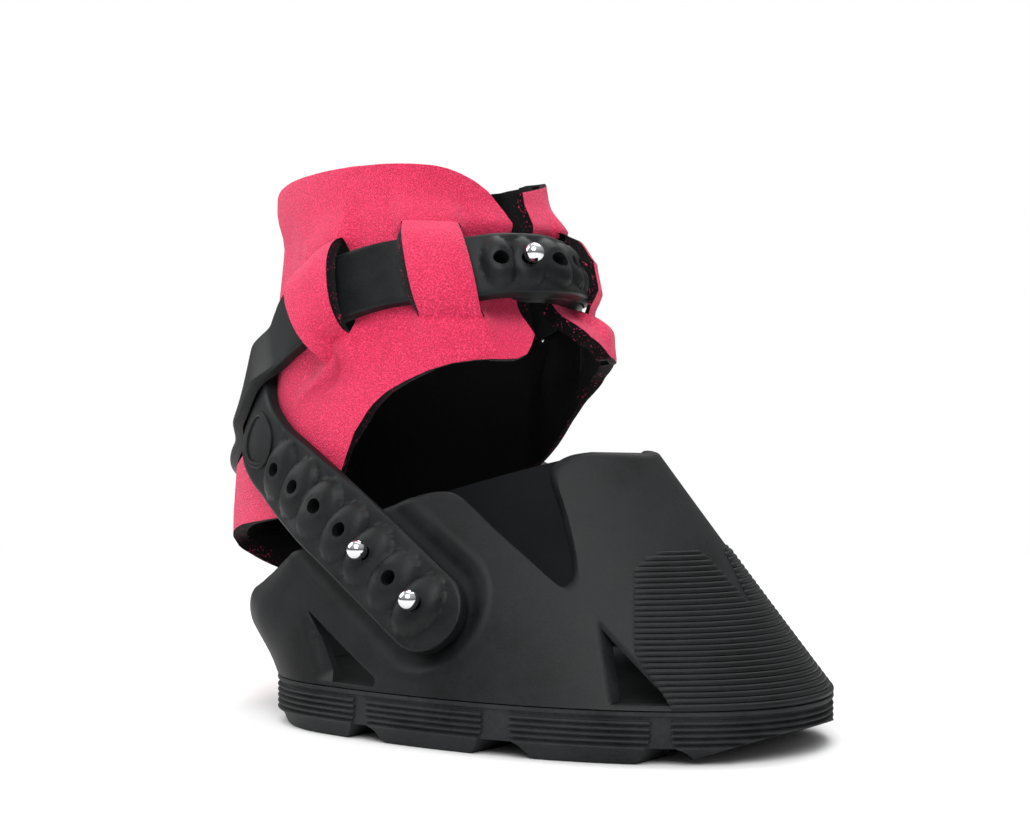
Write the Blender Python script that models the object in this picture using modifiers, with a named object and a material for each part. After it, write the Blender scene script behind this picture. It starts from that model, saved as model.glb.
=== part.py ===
"""Horse hoof boot: rubber shell, treaded outsole, neoprene cuff and two studded straps.

Metres, +X to the toe, +Y to the boot's left, +Z up, ground at Z = 0.
The model is built about the sole and then moved so that its box is centred on the origin.
"""
import math

import bmesh
import bpy
from mathutils import Matrix, Vector

# Clearances
GAP = 0.0003
LAYER_GAP = 0.0004
OVERRUN = 0.004
SLIVER = 0.00002

# Sole outline, at the parting line
SOLE_WIDTH = 0.128
FRONT_LENGTH = 0.125
REAR_LENGTH = 0.0434
SOLE_HEIGHT = 0.0148
TOE_X = 0.080

# Shell wall above the parting line
PANEL_TOP = 0.0818
WALL = 0.004
TOE_LEAN_SHARE = 0.808
FRONT_LOSS_SHARE = 0.25
SIDE_DRAFT_SHARE = 0.224
REAR_GROWTH_SHARE = 0.41
FRONT_POWER_SHARES = (2.115, 1.69)
REAR_POWER_SHARE = 2.5
TOE_INSET_SHARE = 1.2
WING_RADIUS = 0.014
NOTCH_RADIUS = 0.002
PANEL_RADIUS = 0.005
RIM_RADIUS = 0.010
WINDOW_RADIUS = 0.0012

# Outsole
LUG_HEIGHT = 0.0046
LUG_RIB_TOP = 0.0122
LUG_RIB_DEPTH = 0.0008
LUG_RIBS = 5
LUG_TAPER = 0.0022
LUG_CHAMFER = 0.0055
LUG_INNER_WIDTH = 0.052
PLATE_INSET = 0.0011
BEAD_HEIGHT = 0.0012
ROCKER_RISE = 0.0105
ROCKER_LENGTH = 0.026
HEEL_RISE = 0.0030
HEEL_RUN = 0.011
BAR_WIDTH = 0.034
BAR_LENGTH = 0.013

# Gusset webs in the V notches
WEB_THICKNESS = 0.0014
WEB_LAP = 0.0035

# Neoprene cuff
CUFF_TOP = 0.168
NEOPRENE = 0.0045
SLIT_HALF_HEIGHT = 0.0150
SLIT_OPENING = 0.0010
LOOP_RAMP = 0.0050

# Straps
STRAP_THICKNESS = 0.0036
STRAP_WIDTH = 0.024
STRAP_UPPER_WIDTH = 0.020
BUMP_HEIGHT = 0.0021
BUMP_PITCH = 0.0121
BUMP_UPPER_PITCH = 0.0099
HOLE_RADIUS = 0.0020
STRAP_EDGE = 0.0009
DISC_RADIUS = 0.0075
DISC_HEIGHT = 0.0006

# Studs, with the screw and washer behind each
BALL_RADIUS = 0.0027
NECK_RADIUS = 0.0014
THREAD_RADIUS = 0.0007
SCREW_HEAD_RADIUS = 0.0034
SCREW_HEAD_HEIGHT = 0.0012
WASHER_RADIUS = 0.0042
WASHER_THICKNESS = 0.0006

# Facets
STATIONS = 56
SHELL_ROWS = 10
LOWER_ROW_SHARES = (0.0, 0.08, 0.17, 0.32, 0.54, 0.77)
SLIT_ROW_SHARES = (0.0, 0.07, 0.13, 0.5, 0.87, 0.93, 1.0)
LIFT_SHARES = (0.0, 0.6, 1.0, 1.0, 1.0, 0.6, 0.0)
TURN_STEPS = 12
ROUTE_STEPS = 12

SOLE_LENGTH = FRONT_LENGTH + REAR_LENGTH
HALF_WIDTH = SOLE_WIDTH / 2
PANEL_HEIGHT = PANEL_TOP - SOLE_HEIGHT

# Outlines seen from the side: shares of the sole's length behind the toe, and of the panel top's height
RIM_SHARES = ((1.60, 0.440), (0.974, 0.465), (0.843, 0.654), (0.574, 0.894), (0.302, 0.509),
              (0.420, 1.0), (0.10, 1.0), (0.10, 1.5), (1.60, 1.5))
FRONT_WINDOW_SHARES = ((0.262, 0.424), (0.207, 0.196), (0.127, 0.196))
HEEL_WINDOW_SHARES = ((0.799, 0.430), (0.714, 0.196), (0.621, 0.196), (0.623, 0.222))
LUG_SPAN_SHARES = ((1.04, 0.665), (0.638, 0.411), (0.363, 0.154), (0.125, -0.04))
BAR_PLACE_SHARES = (0.82, 0.68, 0.54, 0.40)

# Cuff outer surface: height as a share of the cuff's top, then centre and half sizes as shares of the
# sole's width, and the section's power
CUFF_SECTION_SHARES = (
    (0.190, -0.446, 0.332, 0.352, 2.5),
    (0.235, -0.452, 0.341, 0.356, 2.4),
    (0.262, -0.474, 0.410, 0.358, 2.4),
    (0.288, -0.486, 0.490, 0.358, 2.4),
    (0.310, -0.494, 0.531, 0.359, 2.4),
    (0.357, -0.500, 0.535, 0.359, 2.4),
    (0.452, -0.496, 0.527, 0.367, 2.3),
    (0.548, -0.473, 0.500, 0.367, 2.1),
    (0.655, -0.455, 0.473, 0.367, 2.0),
    (0.774, -0.480, 0.430, 0.352, 2.0),
    (0.863, -0.504, 0.395, 0.332, 2.0),
    (0.935, -0.530, 0.371, 0.316, 2.0),
    (1.010, -0.540, 0.363, 0.309, 2.0),
)
# Cuff outline: degrees round from the toe by the right side, lower edge and upper edge
CUFF_EDGE_SHARES = (
    (13, 0.690, 0.890), (16, 0.672, 0.925), (20, 0.655, 0.955), (26, 0.648, 0.975), (32, 0.647, 0.985),
    (37, 0.647, 0.992), (42, 0.646, 0.997), (50, 0.640, 1.000), (57, 0.628, 1.000), (64, 0.610, 1.000),
    (70, 0.592, 1.000), (75, 0.565, 0.998), (80, 0.520, 0.998), (84, 0.446, 0.997), (88, 0.375, 0.996),
    (96, 0.366, 0.994), (102, 0.361, 0.992), (112, 0.351, 0.985), (124, 0.341, 0.975),
    (138, 0.325, 0.962), (148, 0.308, 0.953), (155, 0.262, 0.948), (162, 0.212, 0.943),
    (171, 0.200, 0.940), (180, 0.196, 0.938),
)
LEFT_FRONT_SHARES = (
    (-2, 0.690, 0.950), (6, 0.670, 0.962), (16, 0.655, 0.972), (26, 0.648, 0.980), (32, 0.647, 0.985),
    (40, 0.645, 0.995), (51, 0.623, 1.000), (61, 0.577, 1.000), (69, 0.536, 0.999), (75, 0.494, 0.998),
    (81, 0.457, 0.998), (84, 0.446, 0.997))
FRONT_EDGE_LEAN_SHARES = (13, 21, 19.5)
LEFT_EDGE_LEAN_SHARES = (361, 363, 352)
NEAR_SLITS = (37, 57, 80, 102)
FAR_SLITS = (342, 322, 299, 277)

# Strap routes: places on the shell (behind the toe, height) or on the cuff (turn, height)
UNDER_ROUTE_SHARES = (
    ("shell", 0.4751, 0.363), ("shell", 0.5511, 0.4633), ("shell", 0.6663, 0.615), ("shell", 0.7357, 0.703),
    ("shell", 0.805, 0.790), ("cuff", 101, 0.462), ("cuff", 112, 0.507), ("cuff", 124, 0.553),
    ("cuff", 136, 0.597), ("cuff", 149, 0.636), ("cuff", 163, 0.660), ("cuff", 180, 0.680),
    ("cuff", 200, 0.700), ("cuff", 222, 0.714), ("cuff", 245, 0.726), ("cuff", 268, 0.745),
    ("cuff", 288, 0.773), ("cuff", 310, 0.790), ("cuff", 332, 0.797), ("cuff", 352, 0.797),
    ("cuff", 370, 0.794), ("cuff", 388, 0.793), ("cuff", 400, 0.794))
OVER_ROUTE_SHARES = (
    ("shell", 0.4751, 0.363), ("shell", 0.5511, 0.4633), ("shell", 0.6663, 0.615), ("shell", 0.7357, 0.700),
    ("shell", 0.805, 0.775), ("cuff", 256, 0.430), ("cuff", 243, 0.442), ("cuff", 228, 0.446),
    ("cuff", 212, 0.446), ("cuff", 196, 0.450), ("cuff", 178, 0.462), ("cuff", 163, 0.490),
    ("cuff", 150, 0.536), ("cuff", 137, 0.596), ("cuff", 126, 0.648), ("cuff", 115, 0.690),
    ("cuff", 102, 0.722), ("cuff", 88, 0.762), ("cuff", 72, 0.788), ("cuff", 57, 0.800),
    ("cuff", 42, 0.797), ("cuff", 30, 0.793), ("cuff", 17, 0.791), ("cuff", 3, 0.793),
    ("cuff", -11, 0.797), ("cuff", -25, 0.798), ("cuff", -42, 0.794), ("cuff", -60, 0.786))
SPLIT_TURN = 47
CLOSURE_STUD_TURN = 16.5
# Turns between which a strap is lifted by what lies under it, and the ramp's length in degrees
CROSSING_TURNS = (114, 170)
CLOSURE_TURNS = (-60, 28)
SCREW_TURNS = (-2, 28)
RAMP_TURN = 8
CROSSING_BOW = 0.0017
HOLLOW_TURNS = (128, 240)
HOLLOW_BOW = 0.0011


def mix(low, high, share):
    return low + (high - low) * share


def smooth(share):
    share = min(max(share, 0.0), 1.0)
    return share * share * (3 - 2 * share)


def side_place(back_share, up_share):
    return TOE_X - back_share * SOLE_LENGTH, up_share * PANEL_TOP


def power_of(value, power):
    return math.copysign(abs(value) ** power, value)


# The hoof shape: one leaning, narrowing section at each height

def hoof_section(height):
    up = max(height - SOLE_HEIGHT, 0.0)
    front = FRONT_LENGTH - FRONT_LOSS_SHARE * up
    centre = TOE_X - TOE_LEAN_SHARE * up - front
    half = HALF_WIDTH - SIDE_DRAFT_SHARE * up
    rear = REAR_LENGTH + REAR_GROWTH_SHARE * up
    front_power = mix(*FRONT_POWER_SHARES, up / PANEL_HEIGHT)
    return centre, front, rear, half, front_power


def hoof_point(angle, height, inset=0.0):
    """A point of the outer wall; the angle runs from the toe by the right side (-Y) to the heel."""
    centre, front, rear, half, front_power = hoof_section(height)
    along, across = math.cos(angle), math.sin(angle)
    length, power = (front, front_power) if along > 0 else (rear, REAR_POWER_SHARE)
    x = centre + (length - inset * TOE_INSET_SHARE) * power_of(along, 2 / power)
    y = -(half - inset) * power_of(across, 2 / power)
    return Vector((x, y, height))


def hoof_side(x, height, side, inset=0.0):
    """The outer wall at a place seen from the side; side is -1 on the right and 1 on the left."""
    centre, front, rear, half, front_power = hoof_section(height)
    length, power = (front, front_power) if x > centre else (rear, REAR_POWER_SHARE)
    share = min(abs(x - centre) / (length - inset * TOE_INSET_SHARE), 1.0)
    return Vector((x, side * (half - inset) * (1 - share ** power) ** (1 / power), height))


def hoof_side_normal(x, height, side):
    step = WALL / 10
    along = hoof_side(x + step, height, side) - hoof_side(x - step, height, side)
    up = hoof_side(x, height + step, side) - hoof_side(x, height - step, side)
    normal = along.cross(up).normalized()
    return normal if normal.y * side > 0 else -normal


# The cuff: sections stacked up the leg

def cuff_section(height):
    share = height / CUFF_TOP
    rows = CUFF_SECTION_SHARES
    share = min(max(share, rows[0][0]), rows[-1][0])
    for low, high in zip(rows, rows[1:]):
        if share <= high[0]:
            part = (share - low[0]) / (high[0] - low[0])
            values = [mix(a, b, part) for a, b in zip(low[1:], high[1:])]
            break
    centre, length, half = (value * SOLE_WIDTH for value in values[:3])
    return centre, length, half, values[3]


def cuff_point(turn, height):
    centre, length, half, power = cuff_section(height)
    angle = math.radians(turn)
    x = centre + length * power_of(math.cos(angle), 2 / power)
    y = -half * power_of(math.sin(angle), 2 / power)
    return Vector((x, y, height))


def cuff_normal(turn, height):
    step_turn, step_height = 1.0, WALL / 2
    round_way = cuff_point(turn + step_turn, height) - cuff_point(turn - step_turn, height)
    up = cuff_point(turn, height + step_height) - cuff_point(turn, height - step_height)
    normal = up.cross(round_way).normalized()
    centre = cuff_section(height)[0]
    outward = cuff_point(turn, height) - Vector((centre, 0.0, height))
    return normal if normal.dot(outward) > 0 else -normal


def cuff_clearance(point):
    """How far a point lies outside the cuff's outer surface."""
    centre, length, half, power = cuff_section(point.z)
    along = power_of((point.x - centre) / length, power / 2)
    across = power_of(-point.y / half, power / 2)
    turn = math.degrees(math.atan2(across, along))
    return (point - cuff_point(turn, point.z)).dot(cuff_normal(turn, point.z))


# Scene helpers

def clear_scene():
    for item in list(bpy.data.objects):
        bpy.data.objects.remove(item, do_unlink=True)


def make_collection(name):
    collection = bpy.data.collections.new(name)
    bpy.context.scene.collection.children.link(collection)
    return collection


def make_material(name, colour, roughness, metallic=0.0):
    material = bpy.data.materials.new(name)
    material.use_nodes = True
    material.diffuse_color = (*colour, 1.0)
    shader = material.node_tree.nodes["Principled BSDF"]
    shader.inputs["Base Color"].default_value = (*colour, 1.0)
    shader.inputs["Roughness"].default_value = roughness
    shader.inputs["Metallic"].default_value = metallic
    return material


def add_object(name, mesh, material=None, cutter=False):
    item = bpy.data.objects.new(name, mesh)
    (CUTTERS if cutter else BOOT).objects.link(item)
    if cutter:
        item.hide_render = True
        item.display_type = "WIRE"
    if material:
        mesh.materials.append(material)
    return item


def mesh_from(name, build):
    mesh = bpy.data.meshes.new(name)
    bm = bmesh.new()
    build(bm)
    bmesh.ops.recalc_face_normals(bm, faces=bm.faces)
    bmesh.ops.triangulate(bm, faces=bm.faces)
    bm.to_mesh(mesh)
    bm.free()
    return mesh


def bake(item):
    """Replaces an object's mesh by its evaluated one in triangles, without slivers."""
    bpy.context.view_layer.update()
    graph = bpy.context.evaluated_depsgraph_get()
    mesh = bpy.data.meshes.new_from_object(item.evaluated_get(graph))
    item.modifiers.clear()
    bm = bmesh.new()
    bm.from_mesh(mesh)
    bmesh.ops.remove_doubles(bm, verts=bm.verts, dist=SLIVER)
    bmesh.ops.dissolve_degenerate(bm, dist=SLIVER, edges=bm.edges)
    bmesh.ops.triangulate(bm, faces=bm.faces)
    bm.to_mesh(mesh)
    bm.free()
    item.data = mesh


def boolean(item, cutter, operation="DIFFERENCE"):
    modifier = item.modifiers.new(cutter.name, "BOOLEAN")
    modifier.object = cutter
    modifier.operation = operation
    modifier.solver = "EXACT"
    bake(item)
    return item


def loft(bm, rings, closed_ends=True):
    """Joins equal rings of points; closes the first and the last one with a face."""
    rows = [[bm.verts.new(point) for point in ring] for ring in rings]
    count = len(rows[0])
    for low, high in zip(rows, rows[1:]):
        for i in range(count):
            j = (i + 1) % count
            bm.faces.new((low[i], low[j], high[j], high[i]))
    if closed_ends:
        bm.faces.new(list(reversed(rows[0])))
        bm.faces.new(rows[-1])
    return rows


def rounded(corners, radii, steps=5):
    """A closed outline with each corner turned by an arc of its radius."""
    points = []
    count = len(corners)
    for i, corner in enumerate(corners):
        here = Vector(corner)
        before, after = Vector(corners[i - 1]) - here, Vector(corners[(i + 1) % count]) - here
        radius = radii[i]
        if radius == 0:
            points.append(here)
            continue
        before_way, after_way = before.normalized(), after.normalized()
        half = before_way.angle(after_way) / 2
        reach = min(radius / math.tan(half), before.length / 2, after.length / 2)
        radius = reach * math.tan(half)
        middle = here + (before_way + after_way).normalized() * radius / math.sin(half)
        start, end = here + before_way * reach - middle, here + after_way * reach - middle
        sweep = start.angle_signed(end)
        for step in range(steps + 1):
            points.append(middle + Matrix.Rotation(-sweep * step / steps, 2) @ start)
    return points


def prism(name, outline, low_y, high_y):
    """A cutter: an outline in the side view, carried across the boot."""
    def build(bm):
        face = bm.faces.new([bm.verts.new((p[0], low_y, p[1])) for p in outline])
        moved = bmesh.ops.extrude_face_region(bm, geom=[face])["geom"]
        verts = [v for v in moved if isinstance(v, bmesh.types.BMVert)]
        bmesh.ops.translate(bm, vec=(0.0, high_y - low_y, 0.0), verts=verts)
    return add_object(name, mesh_from(name, build), cutter=True)


def outline_ring(height, inset):
    angles = [math.tau * i / STATIONS for i in range(STATIONS)]
    ring = [hoof_point(angle, SOLE_HEIGHT, inset) for angle in angles]
    return [Vector((p.x, p.y, height)) for p in ring]


# Shell

def build_shell():
    low = SOLE_HEIGHT
    heights = [mix(low, PANEL_TOP + OVERRUN, i / SHELL_ROWS) for i in range(SHELL_ROWS + 1)]
    angles = [math.tau * i / STATIONS for i in range(STATIONS)]

    def build(bm):
        rings = [[hoof_point(angle, height) for angle in angles] for height in heights]
        rings += [[hoof_point(angle, height, WALL) for angle in angles] for height in reversed(heights)]
        loft(bm, rings + rings[:1], closed_ends=False)
        bmesh.ops.remove_doubles(bm, verts=bm.verts, dist=SLIVER)
    shell = add_object("upper_shell", mesh_from("upper_shell", build), RUBBER)
    reach = HALF_WIDTH + OVERRUN
    corners = [side_place(*shares) for shares in RIM_SHARES]
    radii = (0, RIM_RADIUS, RIM_RADIUS, WING_RADIUS, NOTCH_RADIUS, PANEL_RADIUS, 0, 0, 0)
    boolean(shell, prism("rim_cutter", rounded(corners, radii), -reach, reach))
    for side in (-1, 1):
        inner, outer = side * HALF_WIDTH / 3, side * reach
        for name, shares in (("front_window", FRONT_WINDOW_SHARES), ("heel_window", HEEL_WINDOW_SHARES)):
            corners = [side_place(*share) for share in shares]
            outline = rounded(corners, [WINDOW_RADIUS] * len(corners), 2)
            boolean(shell, prism(f"{name}_cutter", outline, min(inner, outer), max(inner, outer)))
    return shell


def build_web(side):
    """The thin web that fills the V notch, bonded inside the wall."""
    wing_top, notch, panel_top = (side_place(*RIM_SHARES[i]) for i in (3, 4, 5))
    columns, rows = 8, 7
    outer = WALL + GAP

    def place(across, down, inset):
        left = Vector((mix(wing_top[0], notch[0], down) - WEB_LAP, mix(wing_top[1], notch[1], down)))
        right = Vector((mix(panel_top[0], notch[0], down) + WEB_LAP, mix(panel_top[1], notch[1], down)))
        left.y -= WEB_LAP * (1 - down)
        right.y -= WEB_LAP * (1 - down)
        spot = left.lerp(right, across)
        return hoof_side(spot.x, spot.y, side, inset)

    def build(bm):
        shares = [(i / columns, j / rows) for j in range(rows + 1) for i in range(columns + 1)]
        front = [bm.verts.new(place(a, d, outer)) for a, d in shares]
        back = [bm.verts.new(place(a, d, outer + WEB_THICKNESS)) for a, d in shares]
        wide = columns + 1
        for j in range(rows):
            for i in range(columns):
                corner = (j * wide + i, j * wide + i + 1, (j + 1) * wide + i + 1, (j + 1) * wide + i)
                bm.faces.new([front[k] for k in corner])
                bm.faces.new([back[k] for k in reversed(corner)])
        border = ([j * wide for j in range(rows, -1, -1)] + list(range(1, wide))
                  + [j * wide + columns for j in range(1, rows + 1)]
                  + [rows * wide + i for i in range(columns - 1, 0, -1)])
        for k, after in zip(border, border[1:] + border[:1]):
            bm.faces.new((front[k], front[after], back[after], back[k]))
    name = "gusset_right" if side < 0 else "gusset_left"
    return add_object(name, mesh_from(name, build), WEB)


# Outsole

def build_outsole():
    top = SOLE_HEIGHT - GAP
    plate_rows = ((LUG_HEIGHT, PLATE_INSET), (top - BEAD_HEIGHT * 2, PLATE_INSET),
                  (top - BEAD_HEIGHT, 0.0), (top, 0.0))
    sole = add_object("outsole", mesh_from("outsole", lambda bm: loft(
        bm, [outline_ring(height, inset) for height, inset in plate_rows])), SOLE)
    rib_low = LUG_HEIGHT * 0.8
    pitch = (LUG_RIB_TOP - rib_low) / LUG_RIBS
    rows = [(0.0, PLATE_INSET + LUG_TAPER)]
    for k in range(LUG_RIBS):
        rows.append((rib_low + pitch * k, LUG_RIB_DEPTH))
        rows.append((rib_low + pitch * (k + 0.5), 0.0))
    rows.append((LUG_RIB_TOP, PLATE_INSET + GAP))
    ribbed = add_object("ribbed_edge", mesh_from("ribbed_edge", lambda bm: loft(
        bm, [outline_ring(height, inset) for height, inset in rows])), cutter=True)
    blocks = None
    for rear_share, front_share in LUG_SPAN_SHARES:
        rear, front = side_place(rear_share, 0)[0], side_place(front_share, 0)[0]
        outline = ((rear + LUG_CHAMFER, -OVERRUN), (rear + LUG_CHAMFER, 0.0), (rear, LUG_CHAMFER),
                   (rear, LUG_RIB_TOP + OVERRUN), (front, LUG_RIB_TOP + OVERRUN), (front, LUG_CHAMFER),
                   (front - LUG_CHAMFER, 0.0), (front - LUG_CHAMFER, -OVERRUN))
        block = prism("lug_block", outline, -HALF_WIDTH * 1.1, HALF_WIDTH * 1.1)
        if front_share > 0:
            groove = prism("lug_centre", [(p[0], p[1]) for p in (
                (rear - OVERRUN, -OVERRUN * 2), (front + OVERRUN, -OVERRUN * 2),
                (front + OVERRUN, LUG_RIB_TOP * 2), (rear - OVERRUN, LUG_RIB_TOP * 2))],
                -LUG_INNER_WIDTH / 2, LUG_INNER_WIDTH / 2)
            boolean(block, groove)
        blocks = block if blocks is None else boolean(blocks, block, "UNION")
    for share in BAR_PLACE_SHARES:
        middle = side_place(share, 0)[0]
        outline = ((middle - BAR_LENGTH / 2, -OVERRUN), (middle - BAR_LENGTH / 2, LUG_HEIGHT * 2),
                   (middle + BAR_LENGTH / 2, LUG_HEIGHT * 2), (middle + BAR_LENGTH / 2, -OVERRUN))
        bar = prism("centre_bar", outline, -BAR_WIDTH / 2, BAR_WIDTH / 2)
        boolean(blocks, bar, "UNION")
    boolean(ribbed, blocks, "INTERSECT")
    boolean(sole, ribbed, "UNION")
    toe, heel = TOE_X + OVERRUN, TOE_X - SOLE_LENGTH
    toe_rise = ROCKER_RISE * (ROCKER_LENGTH + OVERRUN) / ROCKER_LENGTH
    reach = HALF_WIDTH + OVERRUN
    boolean(sole, prism("toe_rocker", ((toe - ROCKER_LENGTH - OVERRUN, 0.0), (toe, -OVERRUN),
                                       (toe, toe_rise)), -reach, reach))
    boolean(sole, prism("heel_rocker", ((heel + HEEL_RUN, 0.0), (heel - OVERRUN, HEEL_RISE * 1.3),
                                        (heel - OVERRUN, -OVERRUN)), -reach, reach))
    return sole


# Cuff

def edge_heights(turn):
    """Lower and upper edge at a turn; behind the front edges the left half mirrors the right one."""
    around = turn if turn <= 180 else 360 - turn
    rows = CUFF_EDGE_SHARES
    if turn > 180 and around < LEFT_FRONT_SHARES[-1][0]:
        rows = LEFT_FRONT_SHARES
    around = min(max(around, rows[0][0]), rows[-1][0])
    for low, high in zip(rows, rows[1:]):
        if around <= high[0]:
            part = (around - low[0]) / (high[0] - low[0])
            return mix(low[1], high[1], part) * CUFF_TOP, mix(low[2], high[2], part) * CUFF_TOP
    return rows[-1][1] * CUFF_TOP, rows[-1][2] * CUFF_TOP


def slit_height(turn):
    """The straps' middle height on the cuff at a turn."""
    if turn > FAR_SLITS[2]:
        return (strap_height(UNDER_ROUTE_SHARES, turn) + strap_height(OVER_ROUTE_SHARES, turn - 360)) / 2
    return strap_height(OVER_ROUTE_SHARES if turn <= 180 else UNDER_ROUTE_SHARES, turn)


def strap_height(route, turn):
    places = sorted((row[1], row[2]) for row in route if row[0] == "cuff")
    turn = min(max(turn, places[0][0]), places[-1][0])
    for low, high in zip(places, places[1:]):
        if turn <= high[0]:
            return mix(low[1], high[1], (turn - low[0]) / (high[0] - low[0])) * CUFF_TOP
    return places[-1][1] * CUFF_TOP


def loop_rise(turn):
    """How far the cuff stands out in a loop over the straps under it."""
    one = NEOPRENE + LAYER_GAP * 3 + STRAP_THICKNESS
    two = one + STRAP_THICKNESS + LAYER_GAP
    for low, high, rise in ((NEAR_SLITS[0], NEAR_SLITS[1], one + LAYER_GAP * 5), (NEAR_SLITS[2], NEAR_SLITS[3], one),
                            (FAR_SLITS[1], FAR_SLITS[0], two), (FAR_SLITS[3], FAR_SLITS[2], one)):
        if low <= turn <= high:
            over_bump = BUMP_HEIGHT * smooth((turn - low) / (high - low)) if rise == two else 0.0
            return rise + over_bump
    return 0.0


def cuff_rows(turn):
    low, high = edge_heights(turn)
    middle = slit_height(turn)
    inset = (high - low) / 20
    bottom = min(max(middle - SLIT_HALF_HEIGHT, low + inset * 2), high - inset * 6)
    top = max(min(middle + SLIT_HALF_HEIGHT, high - inset), bottom + inset * 3)
    rows = [mix(low, bottom, share) for share in LOWER_ROW_SHARES]
    rows += [mix(bottom, top, share) for share in SLIT_ROW_SHARES]
    rows += [mix(top, high, share) for share in (0.5, 1.0)]
    return rows


def build_cuff():
    near_edge, far_edge = FRONT_EDGE_LEAN_SHARES[0], LEFT_EDGE_LEAN_SHARES[0]
    slits = sorted(NEAR_SLITS + FAR_SLITS)
    stops = [near_edge] + slits + [180.0, far_edge]
    stops = sorted(stops)
    columns = []
    for low, high in zip(stops, stops[1:]):
        parts = max(1, round((high - low) / 7.5))
        columns += [mix(low, high, i / parts) for i in range(parts)]
    columns.append(far_edge)
    first_slit_row = len(LOWER_ROW_SHARES)
    last_slit_row = first_slit_row + len(SLIT_ROW_SHARES) - 1

    def surface(turn, row, heights, rise_turn):
        height = heights[row]
        in_slit = first_slit_row <= row <= last_slit_row
        share = LIFT_SHARES[row - first_slit_row] if in_slit else 0.0
        if share == 0.0:
            rise_turn = turn
        edge = front_edge_shift(turn, height)
        outward = cuff_normal(turn + edge, height)
        return cuff_point(turn + edge, height) + outward * loop_rise(rise_turn) * share

    def front_edge_shift(turn, height):
        near = turn < (near_edge + far_edge) / 2
        top, middle, low = FRONT_EDGE_LEAN_SHARES if near else LEFT_EDGE_LEAN_SHARES
        share = (height / CUFF_TOP - 0.66) / 0.125
        wanted = mix(low, middle, smooth(share)) if share < 1 else mix(middle, top, smooth(share - 1))
        edge, slit = (near_edge, NEAR_SLITS[0]) if near else (far_edge, FAR_SLITS[0])
        return (wanted - top) * smooth(1 - (turn - edge) / (slit - edge))

    def build(bm):
        layers = []
        for depth in (0.0, -NEOPRENE):
            grid = []
            for turn in columns:
                heights = cuff_rows(turn)
                line = []
                for row in range(len(heights)):
                    inside_slit = turn in slits and first_slit_row < row < last_slit_row
                    half = math.degrees(SLIT_OPENING / 2 / cuff_section(heights[row])[2])
                    sides = (-half, half) if inside_slit else (0.0,)
                    pair = []
                    for shift in sides:
                        spot = surface(turn + shift, row, heights, turn + shift)
                        normal = cuff_normal(turn + shift, heights[row])
                        pair.append(bm.verts.new(spot + normal * depth))
                    line.append(pair)
                grid.append(line)
            layers.append(grid)
        faces = []
        for depth, grid in enumerate(layers):
            for left, right in zip(grid, grid[1:]):
                for row in range(len(left) - 1):
                    corner = [left[row][-1], right[row][0], right[row + 1][0], left[row + 1][-1]]
                    faces.append(bm.faces.new(corner if depth == 0 else list(reversed(corner))))
        bm.verts.index_update()
        outer_grid, inner_grid = layers
        match = {}
        for outer_line, inner_line in zip(outer_grid, inner_grid):
            for outer_pair, inner_pair in zip(outer_line, inner_line):
                for a, b in zip(outer_pair, inner_pair):
                    match[a] = b
        borders = [edge for edge in bm.edges if len(edge.link_faces) == 1 and edge.verts[0] in match]
        for edge in borders:
            a, b = edge.verts
            bm.faces.new((a, b, match[b], match[a]))
    return add_object("gaiter", mesh_from("gaiter", build), NEOPRENE_CLOTH)


# Straps

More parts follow.
